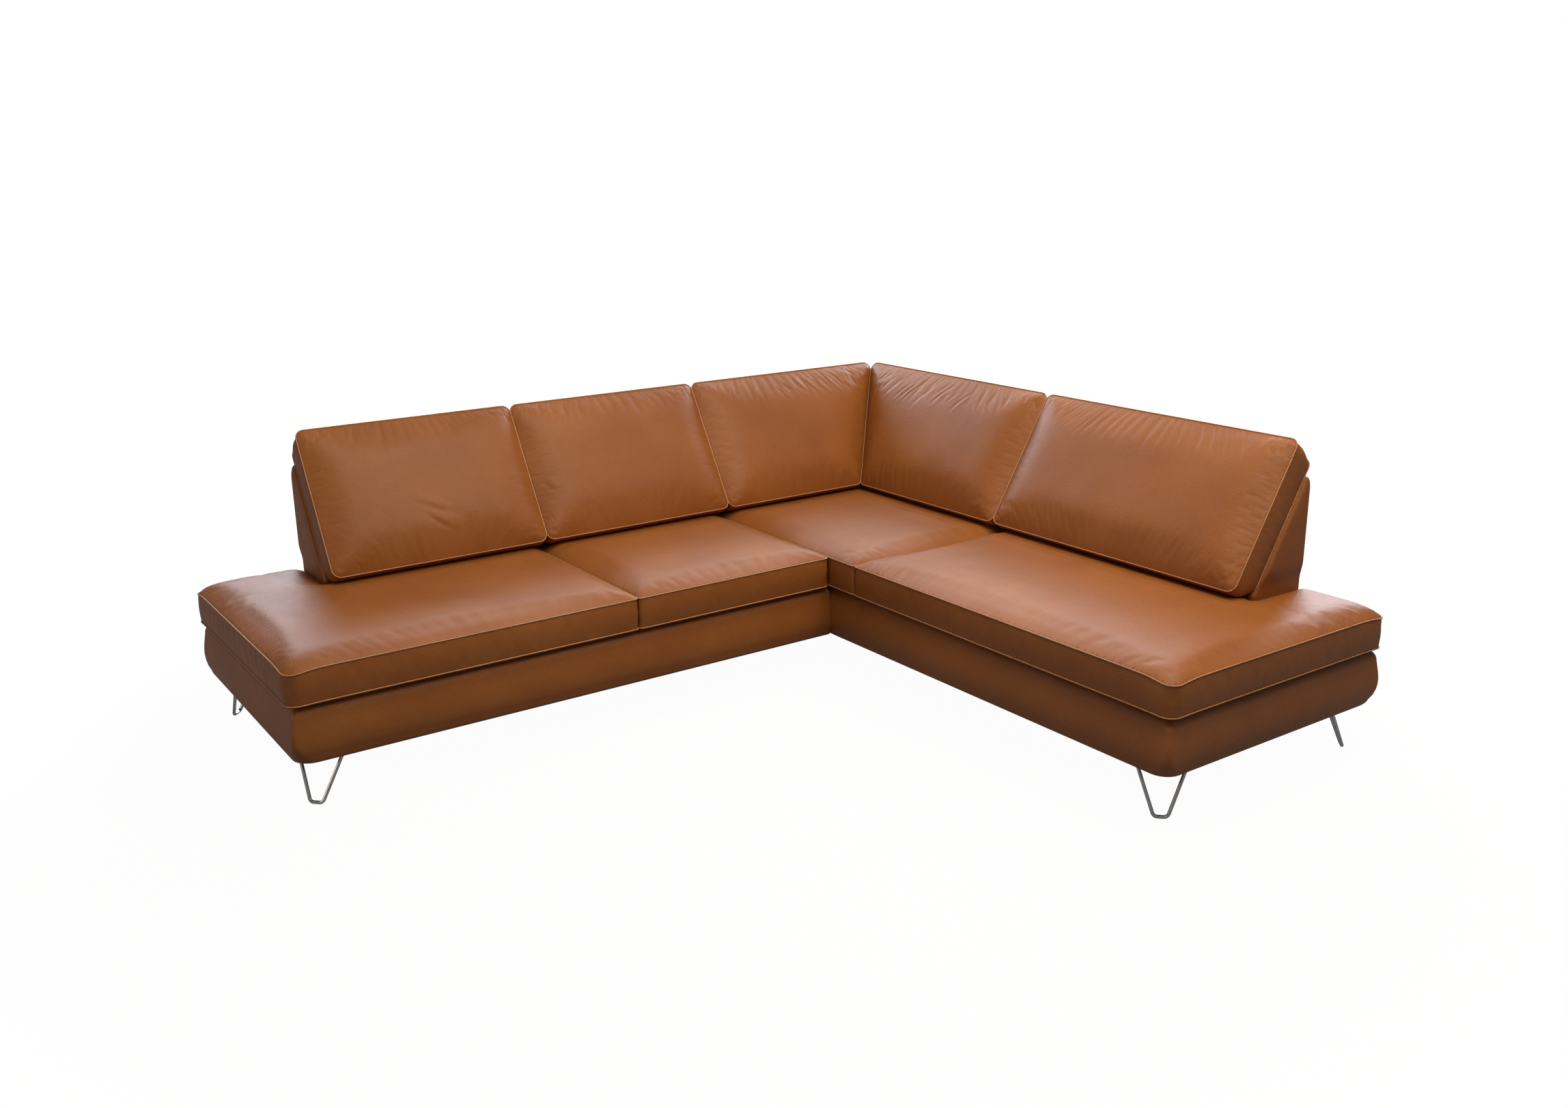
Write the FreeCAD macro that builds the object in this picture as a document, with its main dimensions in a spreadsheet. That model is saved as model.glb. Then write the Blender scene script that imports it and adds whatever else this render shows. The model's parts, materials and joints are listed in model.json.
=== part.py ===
import FreeCAD, Part
import math
import os
import re

from FreeCAD import Vector

# Corner sofa in leather: a long left module and a right module with a chaise end.
#
# Millimetres, +Z up, the origin on the floor under the middle of the sofa. The long left wing runs
# along X and its front faces -Y. The right wing runs along -Y and its front faces -X. Most pieces are
# laid out from the inner corner, where the two fronts meet, by the distance s along a wing and the
# depth d behind its front. The right wing is the left one mirrored: s and d change places.

SIZES = [
    ("left_front", 1767, "front of the left wing, from the inner corner to its end"),
    ("right_front", 1417, "front of the right wing, from the inner corner to its end"),
    ("depth", 918, "front to back of either wing"),
    ("leg_height", 147, "floor to the underside of the bases"),
    ("base_height", 158, "underside to top of the bases"),
    ("base_inset", 9, "the bases stand back under the seat cushions"),
    ("base_round", 28, "rounding of the padded base edges"),
    ("hide", 2, "leather with its lining"),
    ("top_lip", 60, "width of the base cover turned over the deck"),
    ("bottom_lip", 60, "width of the base cover turned under the frame"),
    ("rail", 25, "thickness of the frame rails"),
    ("deck_pad", 8, "felt and foam over the springs"),
    ("spring_room", 6, "height of the clips that hold the springs"),
    ("spring_wire", 4, "diameter of the zigzag springs"),
    ("spring_bar", 30, "straight bar of a zigzag spring"),
    ("spring_step", 46, "distance from bar to bar, at most"),
    ("left_springs", 8, "springs in the left module"),
    ("right_springs", 10, "springs in the right module"),
    ("clip_depth", 10, "spring clip along the spring"),
    ("clip_short", 2, "a spring clip ends this far inside each end of its bar"),
    ("left_cross_rails", 2, "cross rails in the left module"),
    ("right_cross_rails", 3, "cross rails in the right module"),
    ("cross_drop", 42, "cross rails lie this far below the rail tops"),
    ("block_side", 130, "side of the leg blocks"),
    ("block_height", 40, "height of the leg blocks"),
    ("leg_rod", 10, "diameter of the bent leg rod"),
    ("leg_inset", 64, "foot of a leg from both edges of its corner"),
    ("leg_splay", 55, "the foot stands out from the top of its leg"),
    ("leg_top_width", 140, "width of the leg at its plate"),
    ("leg_foot_width", 36, "width of the leg's foot between its bends"),
    ("leg_bend", 14, "radius of the two bends at the foot"),
    ("leg_plate", 3, "thickness of the leg and joining plates"),
    ("leg_plate_width", 44, "width of the leg plate"),
    ("leg_plate_over", 15, "leg plate past the rod"),
    ("screw_spread", 40, "leg screws from the middle of the plate"),
    ("screw_offset", 10, "leg screws from the middle line of the plate"),
    ("screw_shank", 5, "diameter of a wood screw"),
    ("screw_head", 10, "diameter of its head"),
    ("screw_head_height", 2.5, "height of its head"),
    ("screw_length", 32, "length of its shank"),
    ("hole_play", 0.2, "a hole is this much wider than what goes in"),
    ("foot_top", 56, "diameter of a support foot at its top"),
    ("foot_bottom", 44, "diameter of a support foot on the floor"),
    ("foot_depth", 640, "support feet behind the front of their wing"),
    ("stud", 8, "diameter of the stud on a support foot"),
    ("stud_length", 30, "stud above the top of the foot"),
    ("join_plate_width", 60, "width of the plates that join the modules"),
    ("join_near", 520, "first joining plate behind the front"),
    ("join_far", 790, "second joining plate behind the front"),
    ("back_front", 695, "front of the backrests at the deck"),
    ("back_rear", 3, "rear of the backrests from the rear of the wing"),
    ("back_knee", 125, "height where the backrest front begins to lean"),
    ("back_height", 395, "top of the backrests above the deck"),
    ("back_lean", 31, "lean of the backrests, degrees from upright"),
    ("back_round", 14, "rounding of the padded backrest edges"),
    ("back_pad", 12, "foam on the backrests"),
    ("board", 18, "plywood boards and ribs of the backrests"),
    ("rib_spacing", 420, "ribs are at most this far apart"),
    ("webbing", 2, "thickness of the webbing on the ribs"),
    ("webbing_width", 60, "width of a strap of webbing"),
    ("strap_low", 0.3, "place of the lower strap, as a share of the leaning face"),
    ("strap_high", 0.7, "place of the upper strap, as a share of the leaning face"),
    ("bolt", 6, "diameter of the backrest bolts"),
    ("bolt_head", 16, "diameter of their heads"),
    ("bolt_head_height", 4, "height of their heads"),
    ("bolt_depth", 60, "the bolts reach this far into the rails"),
    ("bolt_edge", 7, "bolts from the outer face of a rail"),
    ("rest_gap", 0.3, "room between a soft piece and what carries it"),
    ("core_gap", 0.4, "room between a foam core and its cover"),
    ("side_gap", 2, "room between neighbouring cushions"),
    ("left_seat", 1050, "front of the end seat cushion"),
    ("corner_nose", 127, "front of the corner seat cushion"),
    ("left_open", 333, "open end of the left wing beside its backrest"),
    ("right_open", 289, "open end of the right wing beside its backrest"),
    ("seat_bevel", 10, "height of the tucked lower edge of a seat cushion"),
    ("seat_tuck", 14, "the lower edge is tucked in this far"),
    ("seat_border", 95, "height of the border between the seams"),
    ("crown_steep", 3.5, "a crown rises from its seam by this power of the way to its top"),
    ("seat_crown", 26, "crown of a seat cushion above its seam"),
    ("seat_crown_reach", 95, "the crown rises over this distance"),
    ("seat_crown_corner", 30, "radius of the corners at the top of the crown"),
    ("seat_corner", 38, "radius of the outer corners in plan"),
    ("seat_inner_corner", 12, "radius of the corners beside other cushions"),
    ("seat_draw", 3, "free sides are drawn in this far between corners"),
    ("seat_rear_reach", 0.4, "share of the crown's reach at the sides under the back cushions"),
    ("cushion_border", 100, "thickness of a back cushion between its seams"),
    ("cushion_crown", 37, "crown of a back cushion in front of its seam"),
    ("cushion_crown_reach", 185, "the crown rises over this distance"),
    ("cushion_rear_height", 437, "rear of a back cushion, bottom to top"),
    ("cushion_rise", 16, "its front seam stands higher than the rear one at the top"),
    ("cushion_drop", 31, "its front seam lies lower than the rear one at the bottom"),
    ("cushion_tuck", 6, "its rear edges are tucked in this far"),
    ("cushion_corner", 26, "radius of its corners"),
    ("cushion_draw", 3, "its sides are drawn in this far between corners"),
]

# Places and sizes that follow from the sheet. Each is an expression of sheet aliases and of the
# names above it, so a bound property and the code below always read the same value.
DERIVED = {
    "corner_x": "(left_front - depth) / 2",
    "corner_y": "(right_front - depth) / 2",
    "left_end": "corner_x - left_front",
    "chaise_end": "corner_y - right_front",
    "back_x": "corner_x + depth",
    "back_y": "corner_y + depth",
    "base_top": "leg_height + base_height",
    "pad_low": "base_top - deck_pad",
    "rail_low": "leg_height + hide",
    "rail_top": "base_top - deck_pad - spring_room",
    "cross_top": "rail_top - cross_drop",
    "frame_inset": "base_inset + base_round",
    "joint_x": "corner_x + base_inset",
    "left_frame_x0": "left_end + frame_inset",
    "left_frame_x1": "joint_x - hide",
    "right_frame_x0": "joint_x + base_round",
    "right_frame_x1": "back_x - frame_inset",
    "left_frame_y0": "corner_y + frame_inset",
    "right_frame_y0": "chaise_end + frame_inset",
    "frame_y1": "back_y - frame_inset",
    "back_top": "base_top + back_height",
    "knee": "base_top + back_knee",
    "left_back_end": "left_open - left_front",
    "right_back_end": "right_open - right_front",
    "seat_low": "base_top + rest_gap",
    "seat_seam_low": "seat_low + seat_bevel",
    "seat_seam_high": "seat_seam_low + seat_border",
    "seat_top": "seat_seam_high + seat_crown",
    "seat_rear": "back_front - side_gap",
    "tail_rear": "depth - back_rear",
    "cushion_low": "seat_top + rest_gap",
}

FUNCTIONS = {"sin", "cos", "tan"}

doc = FreeCAD.newDocument("corner_sofa")
sheet = doc.addObject("Spreadsheet::Sheet", "sizes")


def fill_sheet():
    """Write the driving dimensions, one row each, as alias, number and note."""
    for row, (alias, number, note) in enumerate(SIZES, start=1):
        sheet.set(f"A{row}", alias)
        sheet.set(f"B{row}", str(number))
        sheet.set(f"C{row}", note)
        sheet.setAlias(f"B{row}", alias)
    doc.recompute()


def expand(text):
    """Turn an expression of plain names into one that reads the sheet."""
    def replace(match):
        name = match.group(0)
        if name in FUNCTIONS:
            return name
        if name in DERIVED:
            return f"({expand(DERIVED[name])})"
        return f"sizes.{name}"
    return re.sub(r"[a-z][a-z_0-9]*", replace, text)


def value(text):
    """The number that an expression of plain names has now."""
    return float(sheet.evalExpression(expand(text)))


def bind(item, prop, text):
    item.setExpression(prop, expand(text))


# Outlines

def inset_points(points, distances):
    """Move each side of a polygon inwards by its own distance. Side i starts at point i."""
    count = len(points)
    lines = []
    for i, (x0, y0) in enumerate(points):
        x1, y1 = points[(i + 1) % count]
        length = math.hypot(x1 - x0, y1 - y0)
        dx, dy = (x1 - x0) / length, (y1 - y0) / length
        lines.append((x0 - dy * distances[i], y0 + dx * distances[i], dx, dy))
    moved = []
    for i in range(count):
        ax, ay, adx, ady = lines[i - 1]
        bx, by, bdx, bdy = lines[i]
        cross = adx * bdy - ady * bdx
        along = ((bx - ax) * bdy - (by - ay) * bdx) / cross
        moved.append((ax + adx * along, ay + ady * along))
    return moved


def corner_arc(before, corner, after, radius):
    """Start, middle and end of the arc that rounds one corner."""
    back = math.hypot(before[0] - corner[0], before[1] - corner[1])
    ahead = math.hypot(after[0] - corner[0], after[1] - corner[1])
    ux, uy = (before[0] - corner[0]) / back, (before[1] - corner[1]) / back
    vx, vy = (after[0] - corner[0]) / ahead, (after[1] - corner[1]) / ahead
    half = math.acos(max(-1, min(1, ux * vx + uy * vy))) / 2
    reach = radius / math.tan(half)
    bx, by = ux + vx, uy + vy
    size = math.hypot(bx, by)
    deep = radius / math.sin(half) - radius
    start = (corner[0] + ux * reach, corner[1] + uy * reach)
    middle = (corner[0] + bx / size * deep, corner[1] + by / size * deep)
    end = (corner[0] + vx * reach, corner[1] + vy * reach)
    return start, middle, end


def outline(points, radii, draws, place):
    """A closed wire of sides and corner arcs. A side with a draw is an arc drawn in by that much."""
    count = len(points)
    arcs = []
    for i in range(count):
        arcs.append(corner_arc(points[i - 1], points[i], points[(i + 1) % count], radii[i]))
    edges = []
    for i, (start, middle, end) in enumerate(arcs):
        edges.append(Part.Arc(place(*start), place(*middle), place(*end)).toShape())
        follow = arcs[(i + 1) % count][0]
        if draws[i]:
            length = math.hypot(follow[0] - end[0], follow[1] - end[1])
            mx = (end[0] + follow[0]) / 2 - (follow[1] - end[1]) / length * draws[i]
            my = (end[1] + follow[1]) / 2 + (follow[0] - end[0]) / length * draws[i]
            edges.append(Part.Arc(place(*end), place(mx, my), place(*follow)).toShape())
        else:
            edges.append(Part.LineSegment(place(*end), place(*follow)).toShape())
    return Part.Wire(edges)


def bent_path(points, radius, place):
    """An open wire of straight runs with every inner corner rounded."""
    edges = []
    start = points[0]
    for i in range(1, len(points) - 1):
        entry, middle, leave = corner_arc(points[i - 1], points[i], points[i + 1], radius)
        edges.append(Part.LineSegment(place(*start), place(*entry)).toShape())
        edges.append(Part.Arc(place(*entry), place(*middle), place(*leave)).toShape())
        start = leave
    edges.append(Part.LineSegment(place(*start), place(*points[-1])).toShape())
    return Part.Wire(edges)


def rod(path, diameter):
    """A round bar along a path."""
    first = path.Edges[0]
    begin = first.valueAt(first.FirstParameter)
    heading = first.tangentAt(first.FirstParameter)
    ring = Part.Wire(Part.makeCircle(diameter / 2, begin, heading))
    return path.makePipeShell([ring], True, False)


def loft(wires, ruled):
    return Part.makeLoft(wires, True, ruled)


def left_place(s, d, z):
    return Vector(value("corner_x") + s, value("corner_y") + d, z)


def right_place(s, d, z):
    return Vector(value("corner_x") + d, value("corner_y") + s, z)


# Sub-parts

parts = []


def keep(item):
    """Remember an object as a sub-part of the sofa."""
    parts.append(item)
    return item


def feature(label, shape):
    """A sub-part whose shape is worked out in this file."""
    item = doc.addObject("Part::Feature", label)
    item.Label = label
    item.Shape = shape
    item.Placement = FreeCAD.Placement()
    return item


def bound_box(label, low, high):
    """A box between two corners, each given by three expressions."""
    box = doc.addObject("Part::Box", label)
    box.Label = label
    for prop, axis in (("Length", 0), ("Width", 1), ("Height", 2)):
        bind(box, prop, f"({high[axis]}) - ({low[axis]})")
    for axis, letter in enumerate("xyz"):
        bind(box, f"Placement.Base.{letter}", low[axis])
    return box


def cut(label, base, tool):
    item = doc.addObject("Part::Cut", label)
    item.Label = label
    item.Base = base
    item.Tool = tool
    return item


def group(label, items):
    item = doc.addObject("Part::Compound", label)
    item.Label = label
    item.Links = items
    return item


def upright(x, y, low, high, diameter):
    return Part.makeCylinder(diameter / 2, high - low, Vector(x, y, low))


def spread(low, high, spacing):
    """Even places from low to high, no further apart than the spacing."""
    steps = max(1, math.ceil((high - low) / spacing))
    return [low + (high - low) * i / steps for i in range(steps + 1)]


# Fasteners. Each is a shape and the hole that it needs in what it goes through.

def wood_screw(x, y):
    """A screw driven up through a plate on the underside."""
    seat = value("leg_height - leg_plate")
    head_low = seat - value("screw_head_height")
    tip = seat + value("screw_length")
    head = upright(x, y, head_low, seat, value("screw_head"))
    shank = upright(x, y, seat, tip, value("screw_shank"))
    play = value("hole_play")
    hole = upright(x, y, seat - play, tip + play, value("screw_shank") + play)
    return head.fuse(shank), hole


def back_bolt(x, y):
    """A bolt from the bottom board of a backrest down into a base rail."""
    seat = value("base_top + hide + board")
    tip = value("rail_top - bolt_depth")
    head = upright(x, y, seat, seat + value("bolt_head_height"), value("bolt_head"))
    shank = upright(x, y, tip, seat, value("bolt"))
    play = value("hole_play")
    hole = upright(x, y, tip - play, seat, value("bolt") + play)
    return head.fuse(shank), hole


def leg_corners():
    """Name, corner of the seat and outward signs of every leg."""
    left, right = value("left_end"), value("back_x")
    front, rear = value("corner_y"), value("back_y")
    chaise, inner = value("chaise_end"), value("corner_x")
    return [
        ("leg_left_front", left, front, -1, -1),
        ("leg_left_rear", left, rear, -1, 1),
        ("leg_chaise_inner", inner, chaise, -1, -1),
        ("leg_chaise_outer", right, chaise, 1, -1),
        ("leg_back_corner", right, rear, 1, 1),
    ]


def leg_axes(x, y, sx, sy):
    """Middle of the foot, outward direction and sideways direction of a leg."""
    outward = Vector(sx, sy, 0).normalize()
    sideways = Vector(-sy, sx, 0).normalize()
    inset = value("leg_inset")
    return Vector(x - sx * inset, y - sy * inset, 0), outward, sideways


def leg(x, y, sx, sy):
    """A bent rod welded to its plate."""
    foot, outward, sideways = leg_axes(x, y, sx, sy)
    low = value("leg_rod / 2")
    rise = value("leg_height - leg_plate / 2") - low
    splay = value("leg_splay")
    up = (Vector(0, 0, rise) - outward * splay).normalize()
    slant = math.hypot(rise, splay)
    start = foot + Vector(0, 0, low)
    top, bottom = value("leg_top_width / 2"), value("leg_foot_width / 2")
    points = [(-top, slant), (-bottom, 0), (bottom, 0), (top, slant)]
    path = bent_path(points, value("leg_bend"), lambda a, b: start + sideways * a + up * b)
    plate = leg_plate(foot - outward * splay, outward, sideways)
    return plate.fuse(rod(path, value("leg_rod")))


def leg_plate(middle, outward, sideways):
    half = value("leg_top_width / 2 + leg_plate_over")
    wide = value("leg_plate_width / 2")
    corners = []
    for a, b in ((-half, -wide), (half, -wide), (half, wide), (-half, wide)):
        flat = middle + sideways * a + outward * b
        corners.append(Vector(flat.x, flat.y, value("leg_height - leg_plate")))
    face = Part.Face(Part.makePolygon(corners + corners[:1]))
    return face.extrude(Vector(0, 0, value("leg_plate")))


def leg_screws():
    found = []
    for _, x, y, sx, sy in leg_corners():
        foot, outward, sideways = leg_axes(x, y, sx, sy)
        middle = foot - outward * value("leg_splay")
        for a in (-1, 1):
            for b in (-1, 1):
                spot = middle + sideways * (a * value("screw_spread"))
                spot = spot + outward * (b * value("screw_offset"))
                found.append(wood_screw(spot.x, spot.y))
    return found


def join_rows():
    return [value("corner_y + join_near"), value("corner_y + join_far")]


def join_columns():
    """Middle lines of the two rails that the joining plates bridge."""
    return [value("left_frame_x1 - rail / 2"), value("right_frame_x0 + rail / 2")]


def joining_screws():
    found = []
    side = value("join_plate_width / 4")
    for y in join_rows():
        for x in join_columns():
            found.append(wood_screw(x, y - side))
            found.append(wood_screw(x, y + side))
    return found


def joining_plates():
    shapes = []
    low, high = join_columns()
    over = value("rail / 2")
    wide = value("join_plate_width")
    for y in join_rows():
        corner = Vector(low - over, y - wide / 2, value("leg_height - leg_plate"))
        shapes.append(Part.makeBox(high - low + 2 * over, wide, value("leg_plate"), corner))
    return shapes


def back_rows():
    """Wing, start and end of the three backrests, and whether they end in the corner's mitre."""
    return {
        "left": (left_place, value("left_back_end"), 0, False),
        "corner": (left_place, 0, value("depth"), True),
        "right": (right_place, value("right_back_end"), value("depth"), True),
    }


def rib_places(low, high, mitred):
    """Middle lines of the ribs of a backrest that runs from low to high."""
    edge = value("back_pad + hide + board / 2")
    last = value("back_front") if mitred else high
    return spread(low + edge, last - edge, value("rib_spacing"))


def back_bolts():
    """A bolt midway between each two ribs."""
    found = []
    d = value("depth - frame_inset - bolt_edge")
    for place, low, high, mitred in back_rows().values():
        ribs = rib_places(low, high, mitred)
        for first, second in zip(ribs, ribs[1:]):
            spot = place((first + second) / 2, d, 0)
            found.append(back_bolt(spot.x, spot.y))
    return found


def cross_lines():
    """Expressions for the middle lines of the cross rails: x in the left module, y in the right."""
    ends = {"left": ("left_frame_x0", "left_frame_x1"), "right": ("right_frame_y0", "frame_y1")}
    lines = {}
    for side, (low, high) in ends.items():
        spaces = f"({side}_cross_rails + 1)"
        count = round(value(f"{side}_cross_rails"))
        lines[side] = [f"{low} + ({high} - {low}) * {i} / {spaces}" for i in range(1, count + 1)]
    return lines


def foot_spots():
    lines = cross_lines()
    y = value("corner_y + foot_depth")
    x = value("corner_x + foot_depth")
    spots = [(value(column), y) for column in lines["left"]]
    spots.append((join_columns()[1], y))
    spots += [(x, value(row)) for row in lines["right"]]
    return spots


def support_foot(x, y):
    """A tapered round foot with a stud that screws into the rail above it."""
    high = value("leg_height")
    body = Part.makeCone(value("foot_bottom / 2"), value("foot_top / 2"), high, Vector(x, y, 0))
    return body.fuse(upright(x, y, high, high + value("stud_length"), value("stud")))


def stud_hole(x, y):
    high = value("leg_height")
    play = value("hole_play")
    return upright(x, y, high, high + value("stud_length") + play, value("stud") + play)


# Base modules

def rounded_block(low, high, radius, open_end):
    """A box with rounded edges, but sharp ones round the end that meets the other module."""
    box = Part.makeBox(high[0] - low[0], high[1] - low[1], high[2] - low[2], Vector(*low))
    edges = []
    for edge in box.Edges:
        if open_end and edge.BoundBox.XMin > high[0] - radius / 2:
            continue
        edges.append(edge)
    return box.makeFillet(radius, edges)


def base_corners(side, offset):
    """Lowest and highest corner of a base module, drawn in by an offset."""
    inset = value("base_inset")
    joint = value("joint_x")
    if side == "left":
        low = (value("left_end") + inset, value("corner_y") + inset)
        high = (joint, value("back_y") - inset)
    else:
        low = (joint, value("chaise_end") + inset)
        high = (value("back_x") - inset, value("back_y") - inset)
    bottom, top = value("leg_height"), value("base_top")
    return (
        (low[0] + offset, low[1] + offset, bottom + offset),
        (high[0] - offset, high[1] - offset, top - offset),
    )


def base_block(side, offset):
    low, high = base_corners(side, offset)
    return rounded_block(low, high, value("base_round") - offset, side == "left")


def window(side, lip, low, high):
    """The opening that a lip of the cover leaves, between two heights."""
    corner, far = base_corners(side, 0)
    start = Vector(corner[0] + lip, corner[1] + lip, low)
    return Part.makeBox(far[0] - corner[0] - 2 * lip, far[1] - corner[1] - 2 * lip, high - low, start)


def base_cover(side, holes):
    hide = value("hide")
    bottom, top = value("leg_height"), value("base_top")
    shell = base_block(side, 0).cut(base_block(side, hide))
    shell = shell.cut(window(side, value("top_lip"), top - 2 * hide, top + hide))
    shell = shell.cut(window(side, value("bottom_lip"), bottom - hide, bottom + 2 * hide))
    return shell.cut(holes)


def frame_box(side):
    """The room that the rails, springs and deck pad of a module fill."""
    x0, x1 = value(f"{side}_frame_x0"), value(f"{side}_frame_x1")
    y0, y1 = value(f"{side}_frame_y0"), value("frame_y1")
    low, high = value("rail_low"), value("base_top")
    return Part.makeBox(x1 - x0, y1 - y0, high - low, Vector(x0, y0, low))


def base_padding(side):
    return base_block(side, value("hide")).cut(frame_box(side))


def rails(holes):
    """The four rails of each module."""
    z0, z1 = "rail_low", "rail_top"
    lx0, lx1, ly0 = "left_frame_x0", "left_frame_x1", "left_frame_y0"
    rx0, rx1, ry0, y1 = "right_frame_x0", "right_frame_x1", "right_frame_y0", "frame_y1"
    corners = {
        "left_front_rail": ((lx0, ly0), (lx1, f"{ly0} + rail")),
        "left_rear_rail": ((lx0, f"{y1} - rail"), (lx1, y1)),
        "left_end_rail": ((lx0, f"{ly0} + rail"), (f"{lx0} + rail", f"{y1} - rail")),
        "left_joint_rail": ((f"{lx1} - rail", f"{ly0} + rail"), (lx1, f"{y1} - rail")),
        "right_inner_rail": ((rx0, ry0), (f"{rx0} + rail", y1)),
        "right_outer_rail": ((f"{rx1} - rail", ry0), (rx1, y1)),
        "right_end_rail": ((f"{rx0} + rail", ry0), (f"{rx1} - rail", f"{ry0} + rail")),
        "right_back_rail": ((f"{rx0} + rail", f"{y1} - rail"), (f"{rx1} - rail", y1)),
    }
    for label, (low, high) in corners.items():
        blank = bound_box(f"{label}_blank", (*low, z0), (*high, z1))
        keep(cut(label, blank, holes))


def cross_rails(holes):
    """Cross rails between the long rails of each module, below the springs."""
    blanks = []
    lines = cross_lines()
    for i, middle in enumerate(lines["left"]):
        low = (f"{middle} - rail / 2", "left_frame_y0 + rail", "rail_low")
        high = (f"{middle} + rail / 2", "frame_y1 - rail", "cross_top")
        blanks.append(bound_box(f"left_cross_{i}", low, high))
    for i, middle in enumerate(lines["right"]):
        low = ("right_frame_x0 + rail", f"{middle} - rail / 2", "rail_low")
        high = ("right_frame_x1 - rail", f"{middle} + rail / 2", "cross_top")
        blanks.append(bound_box(f"right_cross_{i}", low, high))
    keep(cut("cross_rails", group("cross_rail_blanks", blanks), holes))


def leg_blocks(holes):
    """A block in each corner of the frames, which takes the screws of a leg."""
    shapes = []
    side, rail = value("block_side"), value("rail")
    for _, x, y, sx, sy in leg_corners():
        inset = value("frame_inset")
        x0, y0 = x - sx * (inset + rail), y - sy * (inset + rail)
        x1, y1 = x0 - sx * side, y0 - sy * side
        corner = Vector(min(x0, x1), min(y0, y1), value("rail_low"))
        shapes.append(Part.makeBox(side, side, value("block_height"), corner))
    keep(cut("leg_blocks", feature("leg_block_blanks", Part.makeCompound(shapes)), holes))


def deck_pads(holes):
    """A pad over the springs, thicker inside the lip of the cover."""
    spans = {
        "left": ("left_end + base_inset", "joint_x", "corner_y + base_inset"),
        "right": ("joint_x", "back_x - base_inset", "chaise_end + base_inset"),
    }
    for side, (x0, x1, y0) in spans.items():
        low = (f"{side}_frame_x0", f"{side}_frame_y0", "pad_low")
        high = (f"{side}_frame_x1", "frame_y1", "base_top - hide")
        slab = bound_box(f"{side}_deck_slab", low, high)
        low = (f"{x0} + top_lip", f"{y0} + top_lip", "base_top - hide")
        high = (f"{x1} - top_lip", "back_y - base_inset - top_lip", "base_top")
        raised = bound_box(f"{side}_deck_raised", low, high)
        pad = doc.addObject("Part::Fuse", f"{side}_deck_whole")
        pad.Base = slab
        pad.Tool = raised
        keep(cut(f"{side}_deck_pad", pad, holes))


def dust_covers(holes):
    """Cloth under the frames, inside the lower lip of the covers."""
    spans = {
        "left": ("left_end + base_inset", "joint_x", "corner_y + base_inset"),
        "right": ("joint_x", "back_x - base_inset", "chaise_end + base_inset"),
    }
    for side, (x0, x1, y0) in spans.items():
        low = (f"{x0} + bottom_lip", f"{y0} + bottom_lip", "leg_height")
        high = (f"{x1} - bottom_lip", "back_y - base_inset - bottom_lip", "rail_low")
        blank = bound_box(f"{side}_dust_sheet", low, high)
        keep(cut(f"{side}_dust_cover", blank, holes))


# Seat springs

def zigzag(length):
    """One zigzag spring along +Y from the origin, its first and last bars in the clips."""
    count = math.ceil(length / value("spring_step"))
    step = length / count
    half = value("spring_bar / 2")
    edges = []
    side = -1
    for i in range(count + 1):
        y = i * step
        end = Vector(-side * half, y, 0)
        edges.append(Part.LineSegment(Vector(side * half, y, 0), end).toShape())
        side = -side
        if i < count:
            far = Vector(side * (half + step / 2), y + step / 2, 0)
            edges.append(Part.Arc(end, far, Vector(side * half, y + step, 0)).toShape())
    return rod(Part.Wire(edges), value("spring_wire"))


def clip():
    """A block with a bore for a spring bar, centred on the origin along X."""
    length = value("spring_bar - 2 * clip_short")
    deep, tall = value("clip_depth"), value("spring_room")
    block = Part.makeBox(length, deep, tall, Vector(-length / 2, -deep / 2, -tall / 2))
    bore = value("spring_wire + hole_play")
    hole = Part.makeCylinder(bore / 2, 2 * length, Vector(-length, 0, 0), Vector(1, 0, 0))
    return block.cut(hole)


def spring_rows():
    """Start, length and turn of every spring of each module."""
    z = value("rail_top + spring_room / 2")
    seat = value("rail - clip_depth / 2")
    rows = {"left": [], "right": []}
    y0, y1 = value("left_frame_y0") + seat, value("frame_y1") - seat
    low, high = value("left_frame_x0 + rail"), value("left_frame_x1 - rail")
    count = round(value("left_springs"))
    for i in range(count):
        x = low + (high - low) * (i + 0.5) / count
        rows["left"].append((Vector(x, y0, z), y1 - y0, 0))
    x0, x1 = value("right_frame_x0") + seat, value("right_frame_x1") - seat
    low, high = value("right_frame_y0 + rail"), value("frame_y1 - rail")
    count = round(value("right_springs"))
    for i in range(count):
        y = low + (high - low) * (i + 0.5) / count
        rows["right"].append((Vector(x0, y, z), x1 - x0, -90))
    return rows


def turned(shape, angle, spot):
    moved = shape.copy()
    moved.rotate(Vector(0, 0, 0), Vector(0, 0, 1), angle)
    moved.translate(spot)
    return moved


def seat_springs():
    """The springs of both modules and the clips at their ends."""
    clips = []
    for side, rows in spring_rows().items():
        spring = zigzag(rows[0][1])
        shapes = []
        for spot, length, angle in rows:
            shapes.append(turned(spring, angle, spot))
            run = FreeCAD.Rotation(Vector(0, 0, 1), angle).multVec(Vector(0, length, 0))
            clips.append(turned(clip(), angle, spot))
            clips.append(turned(clip(), angle, spot + run))
        keep(feature(f"{side}_seat_springs", Part.makeCompound(shapes)))
    keep(feature("spring_clips", Part.makeCompound(clips)))


# Backrests

def back_profile():
    """Side view of a backrest: bottom, rear, top, leaning front and upright front."""
    front, rear = value("back_front"), value("depth - back_rear")
    low, top, knee = value("base_top"), value("back_top"), value("knee")
    lean = value("(back_top - knee) * tan(back_lean)")
    return [(front, low), (rear, low), (rear, top), (front + lean, top), (front, knee)]


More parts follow.
